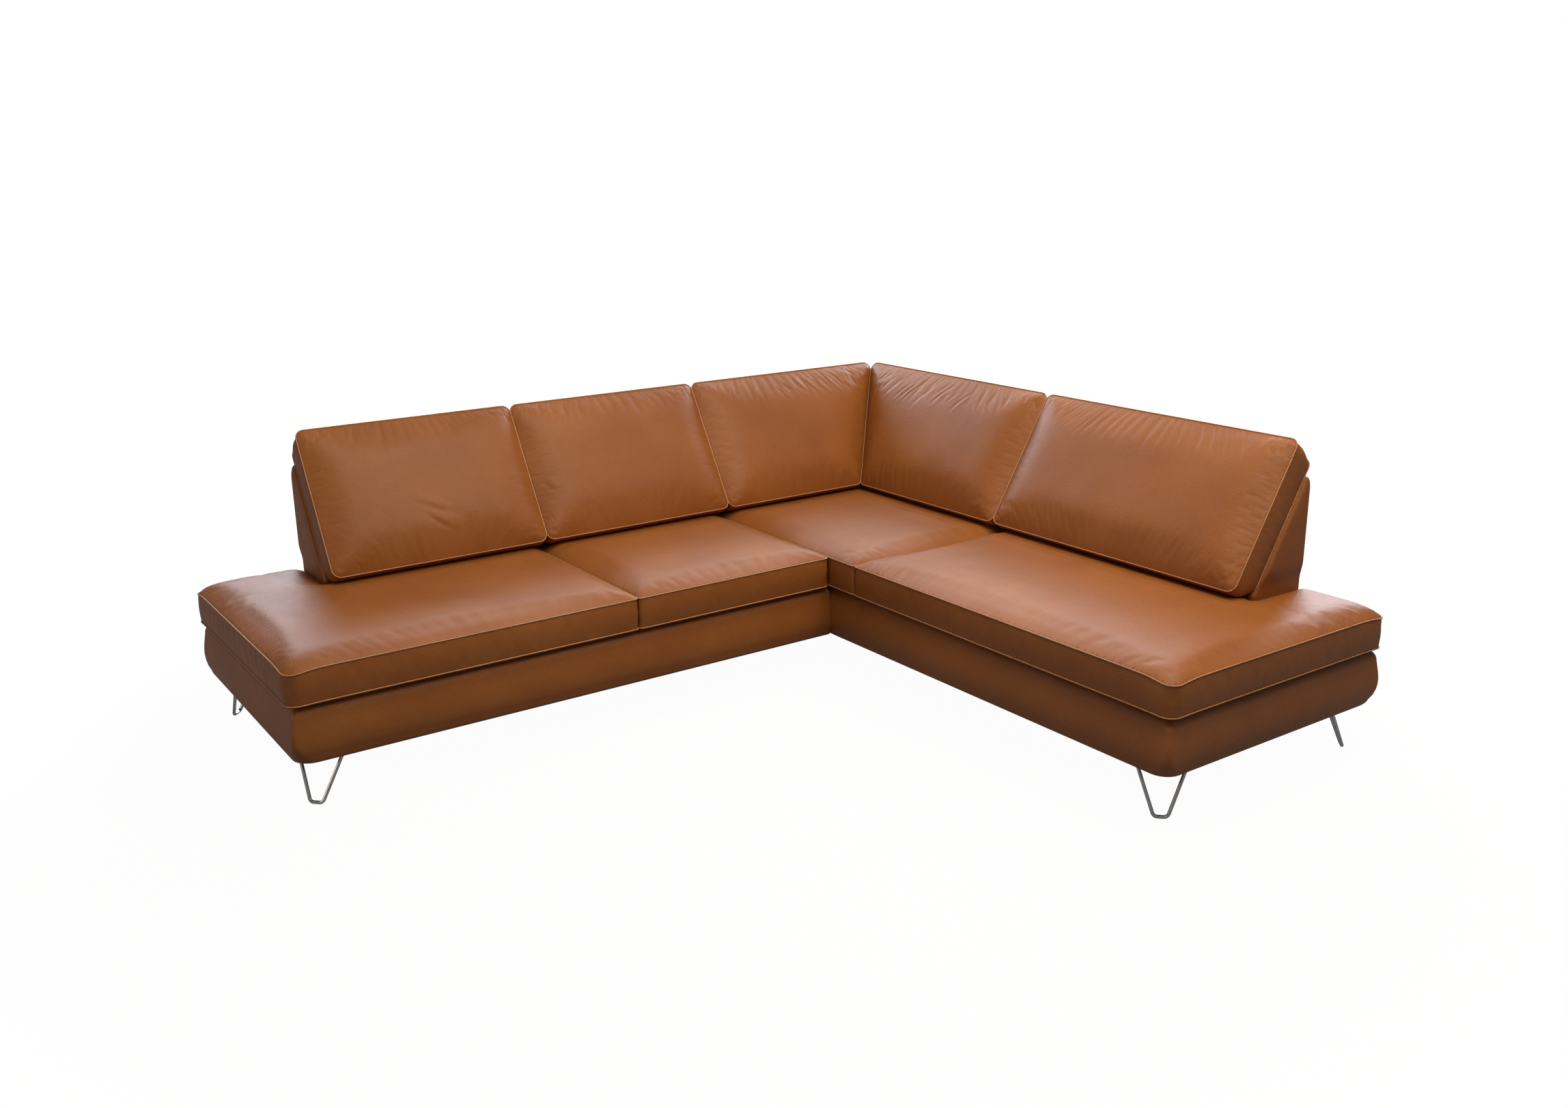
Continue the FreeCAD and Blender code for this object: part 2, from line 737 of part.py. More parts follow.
def prism(place, points, radius, low, high):
    """A side view drawn along the wing. Its two upper corners and its knee are rounded."""
    small = min(radius, 2)
    radii = [small, small, radius, radius, radius]
    wire = outline(points, radii, [0] * 5, lambda d, z: place(low, d, z))
    return Part.Face(wire).extrude(place(high, 0, 0) - place(low, 0, 0))


def board_prism(place, points, low, high):
    """A sharp-edged side view drawn along the wing."""
    corners = [place(low, d, z) for d, z in points]
    face = Part.Face(Part.makePolygon(corners + corners[:1]))
    return face.extrude(place(high, 0, 0) - place(low, 0, 0))


def mitre_waste(place, offset):
    """What the mitre takes off: all that lies nearer to the other wing than the offset."""
    near, far = value("back_front / 2"), value("depth * 1.2")
    side = offset * math.sqrt(2)
    low, high = value("leg_height"), value("back_top * 1.2")
    flat = [(near - side, near), (2 * far, near), (2 * far, far), (far - side, far)]
    corners = [place(s, d, low) for s, d in flat]
    return Part.Face(Part.makePolygon(corners + corners[:1])).extrude(Vector(0, 0, high - low))


def back_envelope(row, margins, ends, radius):
    """The side view drawn in by a margin per side, ending short by its own margin."""
    place, low, high, mitred = row
    points = inset_points(back_profile(), margins)
    body = prism(place, points, radius, low + ends, high - ends)
    if mitred:
        body = body.cut(mitre_waste(place, min(ends, value("hide"))))
    return body


def backrests(holes):
    """Covers, foam, boards, ribs and webbing of the three backrests."""
    hide, pad, board = value("hide"), value("back_pad"), value("board")
    edge = hide + pad
    radius = value("back_round")
    ribs, boards, straps = [], [], []
    for side, row in back_rows().items():
        place, low, high, mitred = row
        outer = back_envelope(row, [0] * 5, 0, radius)
        inner = back_envelope(row, [hide] * 5, hide, radius - hide)
        margins = [hide, edge, edge, edge, edge]
        core = inset_points(back_profile(), margins)
        hollow = board_prism(place, core, low + edge, high - edge)
        waste = mitre_waste(place, hide)
        if mitred:
            hollow = hollow.cut(waste)
        keep(feature(f"{side}_back_padding", inner.cut(hollow)))
        keep(feature(f"{side}_back_cover", outer.cut(inner).cut(holes.Shape)))
        for shape in back_boards(place, core, low + edge, high - edge):
            boards.append(shape.cut(waste) if mitred else shape)
        for shape in back_straps(place, core, low + edge, high - edge):
            straps.append(shape.cut(waste) if mitred else shape)
        profile = inset_points(core, [board, board, board, value("webbing"), 0])
        for middle in rib_places(low, high, mitred):
            ribs.append(board_prism(place, profile, middle - board / 2, middle + board / 2))
    keep(feature("back_ribs", Part.makeCompound(ribs)))
    whole = feature("back_board_blanks", Part.makeCompound(boards))
    keep(cut("back_boards", whole, holes))
    keep(feature("back_webbing", Part.makeCompound(straps)))


def back_boards(place, core, low, high):
    """Bottom, rear and top boards along a backrest."""
    board = value("board")
    (front, bottom), (rear, _), (_, top), (crest, _), _ = core
    bottom_board = [
        (front, bottom), (rear, bottom), (rear, bottom + board), (front, bottom + board),
    ]
    rear_board = [
        (rear - board, bottom + board), (rear, bottom + board),
        (rear, top - board), (rear - board, top - board),
    ]
    top_board = [(crest, top - board), (rear, top - board), (rear, top), (crest, top)]
    return [board_prism(place, side, low, high) for side in (bottom_board, rear_board, top_board)]


def back_straps(place, core, low, high):
    """Two straps of webbing along the leaning face."""
    upper, lower = Vector(*core[3], 0), Vector(*core[4], 0)
    along = (upper - lower).normalize()
    inward = Vector(along.y, -along.x, 0) * value("webbing")
    half = along * value("webbing_width / 2")
    shapes = []
    for place_name in ("strap_low", "strap_high"):
        middle = lower + (upper - lower) * value(place_name)
        corners = [middle - half, middle - half + inward, middle + half + inward, middle + half]
        shapes.append(board_prism(place, [(c.x, c.y) for c in corners], low, high))
    return shapes


# Seat cushions

def crown_steps():
    """Shares of the reach and of the height of a crown, from its seam to its top."""
    steep = value("crown_steep")
    return [(across, 1 - (1 - across) ** steep) for across in (0, 0.06, 0.2, 0.5, 1)]


def seat_outline(plan, inset, z):
    """A seat cushion's plan at one height, drawn in by an inset."""
    points, radii, draws, reaches = plan
    share = min(1, max(0, inset / value("seat_crown_reach")))
    corner = value("seat_crown_corner")
    rounded = [radius + (corner - radius) * share for radius in radii]
    drawn = [draw * (1 - share) for draw in draws]
    moved = inset_points(points, [inset * reach for reach in reaches])
    return outline(moved, rounded, drawn, lambda x, y: left_place(x, y, z))


def seat_body(plan, offset):
    """A seat cushion, or the room inside its cover where the offset is more than nothing."""
    points, radii, draws, reaches = plan
    even = [1] * len(points)
    plain = (inset_points(points, [offset] * len(points)), radii, draws, even)
    crowned = (plain[0], radii, draws, reaches)
    low, high = value("seat_seam_low") + offset, value("seat_seam_high") - offset
    bottom = seat_outline(plain, value("seat_tuck"), value("seat_low") + offset)
    lower, upper = seat_outline(plain, 0, low), seat_outline(plain, 0, high)
    crown = []
    for across, rise in crown_steps():
        z = high + value("seat_crown") * rise
        crown.append(seat_outline(crowned, value("seat_crown_reach") * across, z))
    body = loft([bottom, lower], True).fuse(loft([lower, upper], True))
    return body.fuse(loft(crown, False)).removeSplitter()


def seat_plans():
    """The four seat cushions, laid out from the inner corner.

    Each has its corner points, the radius of each corner, how far each side is drawn in, and the
    share of the crown's reach at each side. Side i starts at point i.
    """
    gap = value("side_gap / 2")
    left, right = value("left_front"), value("right_front")
    split = left - value("left_seat")
    nose = value("corner_nose")
    rear, tail = value("seat_rear"), value("tail_rear")
    notch_left = -left + value("left_open") - value("side_gap")
    notch_right = -right + value("right_open") - value("side_gap")
    big, small, draw = value("seat_corner"), value("seat_inner_corner"), value("seat_draw")
    crook, under = value("side_gap"), value("seat_rear_reach")
    return {
        "end_seat": (
            [
                (-left, 0), (-split - gap, 0), (-split - gap, rear),
                (notch_left, rear), (notch_left, tail), (-left, tail),
            ],
            [big, small, small, crook, small, big],
            [draw, 0, 0, 0, 0, draw],
            [1, 1, under, 1, 1, 1],
        ),
        "middle_seat": (
            [(-split + gap, 0), (-gap, 0), (-gap, rear), (-split + gap, rear)],
            [small] * 4,
            [draw, 0, 0, 0],
            [1, 1, under, 1],
        ),
        "corner_seat": (
            [(gap, -nose + gap), (rear, -nose + gap), (rear, rear), (gap, rear)],
            [small] * 4,
            [0] * 4,
            [1, under, under, 1],
        ),
        "chaise_seat": (
            [
                (0, -right), (tail, -right), (tail, notch_right),
                (rear, notch_right), (rear, -nose - gap), (0, -nose - gap),
            ],
            [big, big, small, crook, small, small],
            [draw, 0, 0, 0, 0, draw],
            [1, 1, 1, under, 1, 1],
        ),
    }


def seat_cushions():
    hide = value("hide")
    for name, plan in seat_plans().items():
        keep(feature(f"{name}_cover", seat_body(plan, 0).cut(seat_body(plan, hide))))
        keep(feature(f"{name}_core", seat_body(plan, hide + value("core_gap"))))


# Back cushions

def cushion_places():
    """Wing, start and end of the five back cushions. No end means the mitre of the corner."""
    gap = value("side_gap / 2")
    split = value("left_front - left_seat")
    nose = value("corner_nose")
    return {
        "end_back": (left_place, value("left_back_end"), -split - gap),
        "middle_back": (left_place, -split + gap, -gap),
        "corner_left_back": (left_place, gap, None),
        "corner_right_back": (right_place, -nose + gap, None),
        "chaise_back": (right_place, value("right_back_end"), -nose - gap),
    }


def cushion_depth(v, w):
    """Depth of the point v up the rear face of a back cushion and w in front of it."""
    lean = math.radians(value("back_lean"))
    start = value("back_front + (cushion_low - knee) * tan(back_lean)")
    start -= value("rest_gap") / math.cos(lean)
    return start + v * math.sin(lean) - w * math.cos(lean)


def cushion_height(v, w):
    lean = math.radians(value("back_lean"))
    return value("cushion_low") + v * math.cos(lean) + w * math.sin(lean)


def cushion_section(place, start, end, w, inset, low, high, squeeze):
    """The outline of a back cushion in a plane parallel to its rear face, w in front of it."""
    gap = value("side_gap / 2") * math.sqrt(2)

    def finish(v):
        if end is not None:
            return end - inset
        return cushion_depth(v, w) - gap - inset

    bottom, top = low + inset, high - inset
    points = [
        (start + inset, bottom), (finish(bottom), bottom), (finish(top), top), (start + inset, top),
    ]
    draw = value("cushion_draw") * squeeze
    radii = [value("cushion_corner")] * 4
    return outline(
        points, radii, [0, draw, draw, draw],
        lambda s, v: place(s, cushion_depth(v, w), cushion_height(v, w)),
    )


def cushion_body(place, start, end, offset):
    """A back cushion, or the room inside its cover where the offset is more than nothing."""
    border, crown = value("cushion_border"), value("cushion_crown")
    rear, rise, drop = value("cushion_rear_height"), value("cushion_rise"), value("cushion_drop")
    reach = value("cushion_crown_reach")
    slope = value("tan(back_lean)")
    shrink = (border + crown - 2 * offset) / (border + crown)

    def section(w, inset, low, high, squeeze):
        w_in = offset + w * shrink
        return cushion_section(place, start, end, w_in, inset + offset, low, high, squeeze)

    # Shares of the border, of the tuck and of the rise at the sections behind the front seam
    stations = ((0, 1, 0), (0.12, 0.5, 0.2), (0.5, 0.1, 0.6))
    behind = []
    for share, tuck, lift in stations:
        w = border * share
        behind.append(section(w, value("cushion_tuck") * tuck, -w * slope, rear + rise * lift, 1))
    behind.append(section(border, 0, -drop, rear + rise, 1))
    front = []
    for across, up in crown_steps():
        w = border + crown * up
        front.append(section(w, reach * across, -drop, rear + rise, 1 - across))
    body = loft(behind, False).fuse(loft(front, False))
    return body.cut(under_cushions(offset))


def under_cushions(offset):
    """Everything below the plane that the back cushions stand on."""
    wide = value("left_front + right_front + depth")
    low = value("leg_height")
    high = value("cushion_low") + offset
    return Part.makeBox(2 * wide, 2 * wide, high - low, Vector(-wide, -wide, low))


def back_cushions():
    hide = value("hide")
    for name, (place, start, end) in cushion_places().items():
        outer = cushion_body(place, start, end, 0)
        inner = cushion_body(place, start, end, hide)
        keep(feature(f"{name}_cushion_cover", outer.cut(inner)))
        core = cushion_body(place, start, end, hide + value("core_gap"))
        keep(feature(f"{name}_cushion_core", core))


# The whole sofa

def fastener_groups():
    """The screws, the bolts and every hole that a fastener or a stud needs."""
    legs, joints, bolts = leg_screws(), joining_screws(), back_bolts()
    keep(feature("leg_screws", Part.makeCompound([shape for shape, _ in legs])))
    keep(feature("joining_screws", Part.makeCompound([shape for shape, _ in joints])))
    keep(feature("back_bolts", Part.makeCompound([shape for shape, _ in bolts])))
    holes = [hole for _, hole in legs + joints + bolts]
    holes += [stud_hole(x, y) for x, y in foot_spots()]
    return feature("fastener_holes", Part.makeCompound(holes))


def build():
    fill_sheet()
    holes = fastener_groups()
    rails(holes)
    cross_rails(holes)
    leg_blocks(holes)
    seat_springs()
    deck_pads(holes)
    dust_covers(holes)
    for side in ("left", "right"):
        keep(feature(f"{side}_base_padding", base_padding(side).cut(holes.Shape)))
        keep(feature(f"{side}_base_cover", base_cover(side, holes.Shape)))
    for name, x, y, sx, sy in leg_corners():
        keep(feature(name, leg(x, y, sx, sy).cut(holes.Shape)))
    feet = [support_foot(x, y) for x, y in foot_spots()]
    keep(feature("support_feet", Part.makeCompound(feet)))
    plates = Part.makeCompound(joining_plates()).cut(holes.Shape)
    keep(feature("joining_plates", plates))
    backrests(holes)
    seat_cushions()
    back_cushions()
    doc.recompute()


def faults():
    """What failed in the document, in words."""
    found = []
    for item in doc.Objects:
        if "Invalid" in item.State or "Error" in item.State:
            found.append(f"{item.Label} failed: {item.State}")
    for item in parts:
        shape = item.Shape
        if shape.isNull() or not shape.isValid() or not shape.Solids:
            found.append(f"{item.Label} has no sound shape")
        elif min(solid.Volume for solid in shape.Solids) <= 0:
            found.append(f"{item.Label} has a solid of no volume")
    return found


def write_parts():
    """One file for each sub-part."""
    os.makedirs("parts", exist_ok=True)
    for item in parts:
        item.Shape.exportStep(f"parts/{item.Label}.step")
        box = item.Shape.BoundBox
        spans = [round(side) for side in (box.XMin, box.XMax, box.YMin, box.YMax, box.ZMin, box.ZMax)]
        print(item.Label, len(item.Shape.Solids), round(item.Shape.Volume / 1e6, 3), "dm3", *spans)


build()
problems = faults()
if problems:
    raise SystemExit("\n".join(problems))
write_parts()
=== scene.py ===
import json
import math

import bpy
import numpy as np
from mathutils import Matrix, Vector, noise
from mathutils.geometry import delaunay_2d_cdt

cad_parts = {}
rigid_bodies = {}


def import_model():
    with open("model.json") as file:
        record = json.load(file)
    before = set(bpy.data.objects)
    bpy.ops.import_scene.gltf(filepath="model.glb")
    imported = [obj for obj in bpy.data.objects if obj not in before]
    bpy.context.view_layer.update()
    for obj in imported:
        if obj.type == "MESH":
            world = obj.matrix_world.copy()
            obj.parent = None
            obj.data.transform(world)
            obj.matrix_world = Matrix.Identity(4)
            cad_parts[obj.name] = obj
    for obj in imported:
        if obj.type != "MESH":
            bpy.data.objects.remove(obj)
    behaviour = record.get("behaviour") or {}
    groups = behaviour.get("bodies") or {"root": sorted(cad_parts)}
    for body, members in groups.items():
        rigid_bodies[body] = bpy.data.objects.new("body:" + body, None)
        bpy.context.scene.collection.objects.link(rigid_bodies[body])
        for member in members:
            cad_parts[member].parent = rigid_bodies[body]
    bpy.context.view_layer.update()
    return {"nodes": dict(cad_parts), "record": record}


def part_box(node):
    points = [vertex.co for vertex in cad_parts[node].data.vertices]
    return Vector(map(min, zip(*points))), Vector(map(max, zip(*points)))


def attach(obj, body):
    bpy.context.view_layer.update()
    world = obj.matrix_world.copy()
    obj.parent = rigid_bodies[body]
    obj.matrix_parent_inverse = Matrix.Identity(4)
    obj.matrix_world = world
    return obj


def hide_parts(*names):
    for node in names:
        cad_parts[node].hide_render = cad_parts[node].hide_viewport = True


for item in list(bpy.data.objects):
    bpy.data.objects.remove(item)
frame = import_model()
scene = bpy.context.scene

# Camera, as fitted to the photograph, in metres, degrees and millimetres
EYE = (-2.2570, -3.3067, 1.7146)
EYE_YAW = 54.917
EYE_DOWN = 16.152
EYE_ROLL = -0.66
LENS = 32.56
SENSOR = 36
CLIP_END = 100

# Outlines and meshes, in metres and radians
SAME_DIGITS = 6
SAME_PLACE = 0.0004
LEAST_BEND = math.radians(4)
LEAST_CORNER = math.radians(20)
ONE_CORNER = 0.042
LEAST_RADIUS = 0.002
CLEAR_OF_CORNER = 0.012
ARC_POINTS = 7
POINTS_AT_ONCE = 4000
CLEAR_OF_LINE = 0.6
POINT_ERROR = 1e-7
TINY = 1e-9

# Cloth that air pressure swells
CLOTH_FRAMES = 20
CLOTH_QUALITY = 4
CLOTH_MASS = 0.3
CLOTH_STRETCH = 15
CLOTH_SHEAR = 5
CLOTH_BEND = 0.5
PRESSURE = 4
SLACK = 0.005
CROWN_ROOM = 0.007
BORDER_ROOM = 0.004
TIGHT_ROOM = 0.0005

# All cushions, in metres and shares
BORDER = 0.100
CROWN_STEEP = 3.5
SOFT_VALLEY = 3
LEAST_GAP = 1e-4
UNDER_STEP = 0.035
WELT = 0.0020
WELT_PROUD = 0.45
WELT_SIDES = 8
WAVE = 0.0012
WAVE_SEEDS = (3.7, 1.9, 5.3)

# Seat cushions
SEAT_CROWN = 0.026
SEAT_REACH = 0.095
REAR_REACH = 0.4
SEAT_BEVEL = 0.010
SEAT_TUCK = 0.014
SEAT_STEP = 0.014
SEAT_RINGS = 7
TUCK_SHARES = (0.35, 0.7, 1)
BELOW_SEAM = 0.0005
NEXT_TO = 0.012
SAME_SIDE = 0.003
SLIDE_ROOM = 0.0065
SQUARE_TURN = 0.5
CORNER_DROOP = 0.010
DROOP_SPREAD = 0.060
LOW_DROOP = 0.25
BACKS_AHEAD = 0.3
BACKS_FADE = 0.08
SEAT_WAVE_SIZE = 0.11
WAVE_SINK = 0.4
PUFF = 0.006
PUFF_AT = 0.055
MOST_RISE = CROWN_ROOM * 1.5
RISE_FADE = 0.03

# Back cushions
BACK_LEAN = 31
BACK_CROWN = 0.037
BACK_REACH = 0.185
BACK_CORNER = 0.026
BACK_STEP = 0.0085
BACK_RINGS = 8
BACK_WAVE_SIZE = 0.13
IN_FROM_SEAM = 0.001
NEAR_REAR = 0.02
MITRE_FADE = 0.2
FOOT_FADE = 0.05
LEAST_SHARE = 0.05
DOWN_FROM = 0.3
DOWN_SPAN = 0.5
DROP_STEEP = 5
RISEN = 0.4

# Bases
LIP = 0.060
HIDE = 0.002
BASE_ROUND = 0.028
BASE_SHOULDER = 0.036
BASE_ROLL = 0.018
ROLL_FROM = -55
BASE_SAG = 0.010
BASE_BULGE = 0.008
BULGE_LOW = 0.7
BASE_CORNER = 0.012
BASE_LOW_CORNER = 0.034
ROUND_CORNER = 0.005
SHARP_CORNER = 0.002
BASE_STEP = 0.011
ROLL_POINTS = 11
SIDE_POINTS = 9
SHOULDER_POINTS = 8

# Deck pads and dust covers
DECK_STEP = 0.012
DECK_CORNER = 0.004
DECK_BEVEL = 0.0015
DECK_UNDER_STEP = 0.05
QUILT = 0.075
QUILT_DEPTH = 0.0018
QUILT_EDGE = 0.012
EDGE_DEPTH = 0.001
DUST_STEP = 0.03
DUST_SAG = 0.003
SAG_FADE = 0.15
DUST_WAVE = 0.0007
DUST_WAVE_SIZE = 0.09
DUST_SEED = 3

# Backrests
REST_SECTION = 0.1
REST_STEP = 0.02
REST_CORNER = 0.014
FOOT_CORNER = 0.003
FOOT_HEIGHT = 0.02
SOFT_END = 0.012
MITRED_END = 0.003
HALF_ROUND = 0.3
END_POINTS = 6
END_BULGE = 0.008
END_BULGE_FROM = 0.445
BULGE_RISE = 0.06
BULGE_FADE = 0.05

# Floor and room
FLOOR_SIZE = 80
FLOOR_COLOUR = (0.13, 0.125, 0.12)
FLOOR_ROUGHNESS = 0.9
FLOOR_WHITE = 1.18
FLOOR_GLOSS = 0.12
FLOOR_SHARE = 0.82
FLOOR_NEAR = 1.8
FLOOR_FAR = 4.5
ROOM_LIGHT = (0.20, 0.19, 0.18)


# Camera

def look_from_photo():
    """The camera that the photograph's seams and corners were fitted to."""
    yaw, down, roll = math.radians(EYE_YAW), math.radians(EYE_DOWN), math.radians(EYE_ROLL)
    ahead = Vector((math.cos(yaw) * math.cos(down), math.sin(yaw) * math.cos(down), -math.sin(down)))
    level_right = Vector((math.sin(yaw), -math.cos(yaw), 0))
    level_up = level_right.cross(ahead)
    right = level_right * math.cos(roll) + level_up * math.sin(roll)
    up = level_up * math.cos(roll) - level_right * math.sin(roll)
    camera = bpy.data.cameras.new("camera")
    camera.lens = LENS
    camera.sensor_width = SENSOR
    camera.clip_end = CLIP_END
    holder = bpy.data.objects.new("camera", camera)
    turn = Matrix((right, up, -ahead)).transposed().to_4x4()
    holder.matrix_world = Matrix.Translation(Vector(EYE)) @ turn
    scene.collection.objects.link(holder)
    scene.camera = holder


# Flat outlines

class Plane:
    """A flat place with two directions of its own and the way that it faces."""

    def __init__(self, spot, across, up):
        self.spot = np.array(spot, float)
        self.across = np.array(across, float)
        self.up = np.array(up, float)
        self.facing = np.cross(self.across, self.up)

    def flat(self, points):
        moved = np.asarray(points, float) - self.spot
        return np.stack([moved @ self.across, moved @ self.up, moved @ self.facing], 1)

    def solid(self, flat):
        flat = np.asarray(flat, float)
        return (
            self.spot + flat[:, :1] * self.across + flat[:, 1:2] * self.up
            + flat[:, 2:] * self.facing
        )


def skin(node):
    """Corners and triangles of a CAD node, with equal corners merged."""
    mesh = frame["nodes"][node].data
    mesh.calc_loop_triangles()
    places = np.zeros(len(mesh.vertices) * 3)
    mesh.vertices.foreach_get("co", places)
    places = places.reshape(-1, 3)
    triangles = np.zeros(len(mesh.loop_triangles) * 3, int)
    mesh.loop_triangles.foreach_get("vertices", triangles)
    _, first, same = np.unique(
        np.round(places, SAME_DIGITS), axis=0, return_index=True, return_inverse=True
    )
    return places[first], same.reshape(-1)[triangles].reshape(-1, 3)


def section(node, plane, height):
    """The longest closed line that a plane cuts from a CAD node, in the plane's directions."""
    return max(sections(node, plane, height), key=line_length)


def sections(node, plane, height):
    """Every closed line that a plane cuts from a CAD node."""
    places, triangles = skin(node)
    flat = plane.flat(places)
    side = flat[:, 2] - height
    above = side[triangles] > 0
    cut = triangles[above.any(1) & ~above.all(1)]
    links = {}
    for triangle in cut:
        ends = []
        for a, b in zip(triangle, np.roll(triangle, -1)):
            if (side[a] > 0) != (side[b] > 0):
                ends.append((min(a, b), max(a, b)))
        if len(ends) == 2:
            links.setdefault(ends[0], []).append(ends[1])
            links.setdefault(ends[1], []).append(ends[0])
    lines = []
    left = set(links)
    while left:
        start = min(left)
        line, spot, before = [], start, None
        while spot in left:
            left.discard(spot)
            line.append(spot)
            ahead = [other for other in links[spot] if other != before and other in left]
            before = spot
            if not ahead:
                break
            spot = ahead[0]
        points = []
        for a, b in line:
            share = side[a] / (side[a] - side[b])
            points.append(flat[a, :2] + (flat[b, :2] - flat[a, :2]) * share)
        lines.append(np.array(points))
    return lines


def direction(vector):
    return vector / np.linalg.norm(vector)


def directions(rows):
    return rows / np.linalg.norm(rows, axis=1)[:, None]


def line_length(points):
    return np.linalg.norm(np.roll(points, -1, axis=0) - points, axis=1).sum()


def signed_area(points):
    ahead = np.roll(points, -1, axis=0)
    return (points[:, 0] * ahead[:, 1] - points[:, 1] * ahead[:, 0]).sum() / 2


def sharp_outline(line):
    """The corners, and the radius of each, of a closed line with straight sides and round corners."""
    if signed_area(line) < 0:
        line = line[::-1]
    line = line[np.linalg.norm(np.roll(line, -1, axis=0) - line, axis=1) > SAME_PLACE]
    ahead = np.roll(line, -1, axis=0) - line
    length = np.linalg.norm(ahead, axis=1)
    heading = np.arctan2(ahead[:, 1], ahead[:, 0])
    turn = (heading - np.roll(heading, 1) + math.pi) % (2 * math.pi) - math.pi
    along = np.concatenate([[0], np.cumsum(length)])
    total = along[-1]
    bends = [i for i in range(len(line)) if abs(turn[i]) > LEAST_BEND]
    groups = [[bends[0]]]
    for i in bends[1:]:
        if along[i] - along[groups[-1][-1]] < ONE_CORNER:
            groups[-1].append(i)
        else:
            groups.append([i])
    if len(groups) > 1 and along[groups[0][0]] + total - along[groups[-1][-1]] < ONE_CORNER:
        groups[0] = groups.pop() + groups[0]
    groups = [group for group in groups if abs(turn[group].sum()) > LEAST_CORNER]
    closed = np.concatenate([line, line[:1]])

    def spot(place):
        return np.array([np.interp(place % total, along, closed[:, k]) for k in (0, 1)])

    sides = []
    for k, group in enumerate(groups):
        start, end = along[group[-1]], along[groups[(k + 1) % len(groups)][0]]
        run = (end - start) % total
        margin = min(run / 4, CLEAR_OF_CORNER)
        sides.append((spot(start + margin), spot(start + run - margin)))
    corners, radii = [], []
    for k, group in enumerate(groups):
        (a, b), (c, d) = sides[k - 1], sides[k]
        u, v = b - a, d - c
        share = ((c[0] - a[0]) * v[1] - (c[1] - a[1]) * v[0]) / (u[0] * v[1] - u[1] * v[0])
        corners.append(a + u * share)
        gap = np.linalg.norm(line[group] - corners[-1], axis=1)
        half = (math.pi - abs(turn[group].sum())) / 2
        radii.append((gap[0] + gap[-1]) / 2 * math.tan(half))
    return np.array(corners), np.maximum(radii, LEAST_RADIUS)


def moved_sides(corners, distances):
    """Each side of an outline moved inwards by its own distance. Side i starts at corner i."""
    count = len(corners)
    found = []
    for i in range(count):
        lines = []
        for j in (i - 1, i):
            a, b = corners[j], corners[(j + 1) % count]
            along = direction(b - a)
            lines.append((a + np.array([-along[1], along[0]]) * distances[j], along))
        (a, u), (b, v) = lines
        cross = u[0] * v[1] - u[1] * v[0]
        found.append(a + u * (((b[0] - a[0]) * v[1] - (b[1] - a[1]) * v[0]) / cross))
    return np.array(found)


def side_counts(corners, radii, step):
    """How many points each side of an outline gets between its corner arcs."""
    lengths = np.linalg.norm(np.roll(corners, -1, axis=0) - corners, axis=1)
    rests = lengths - radii - np.roll(radii, -1)
    return [max(1, round(rest / step) - 1) for rest in rests]


def rounded_line(corners, radii, counts):
    """Points along an outline with round corners."""
    size = len(corners)
    arcs = []
    for i in range(size):
        u = direction(corners[i - 1] - corners[i])
        v = direction(corners[(i + 1) % size] - corners[i])
        half = math.acos(max(-1, min(1, float(u @ v)))) / 2
        centre = corners[i] + direction(u + v) * radii[i] / math.sin(half)
        start = corners[i] + u * radii[i] / math.tan(half) - centre
        end = corners[i] + v * radii[i] / math.tan(half) - centre
        low = math.atan2(start[1], start[0])
        sweep = (math.atan2(end[1], end[0]) - low + math.pi) % (2 * math.pi) - math.pi
        angles = low + sweep * np.linspace(0, 1, ARC_POINTS)
        arcs.append(centre + radii[i] * np.stack([np.cos(angles), np.sin(angles)], 1))
    parts = []
    for i in range(size):
        parts.append(arcs[i])
        start, end = arcs[i][-1], arcs[(i + 1) % size][0]
        shares = np.linspace(0, 1, counts[i] + 2)[1:-1, None]
        parts.append(start + (end - start) * shares)
    return np.concatenate(parts)


def inside(points, line):
    """Which points lie inside a closed line."""
    result = np.zeros(len(points), bool)
    for (x0, y0), (x1, y1) in zip(line, np.roll(line, -1, axis=0)):
        if y0 == y1:
            continue
        between = (points[:, 1] < y0) != (points[:, 1] < y1)
        result ^= between & (points[:, 0] < x0 + (points[:, 1] - y0) * (x1 - x0) / (y1 - y0))
    return result


def gaps_to_line(points, line, reaches=None):
    """The least distance from each point to a closed line. Reaches divide it, one for each side."""
    ahead = np.roll(line, -1, axis=0) - line
    square = (ahead ** 2).sum(1)
    reaches = np.ones(len(line)) if reaches is None else reaches
    result = []
    for part in np.array_split(points, max(1, len(points) // POINTS_AT_ONCE)):
        moved = part[:, None] - line[None]
        share = np.clip((moved * ahead).sum(2) / square, 0, 1)
        gap = np.linalg.norm(moved - share[..., None] * ahead, axis=2)
        result.append((gap / reaches).min(1))
    return np.concatenate(result)


def filled(line, step):
    """Points and triangles that fill a closed line. The line's own points come first."""
    low, high = line.min(0), line.max(0)
    row = step * math.sqrt(3) / 2
    points = []
    for j, y in enumerate(np.arange(low[1], high[1], row)):
        xs = np.arange(low[0] + (step / 2 if j % 2 else 0), high[0], step)
        points.append(np.stack([xs, np.full(len(xs), y)], 1))
    points = np.concatenate(points)
    points = points[inside(points, line)]
    points = points[gaps_to_line(points, line) > step * CLEAR_OF_LINE]
    every = np.concatenate([line, points])
    size = len(line)
    found = delaunay_2d_cdt(
        [Vector(point) for point in every], [], [list(range(size))], 1, POINT_ERROR
    )
    order = [origin[0] for origin in found[3]]
    return every, [[order[i] for i in face] for face in found[2]]


# Meshes

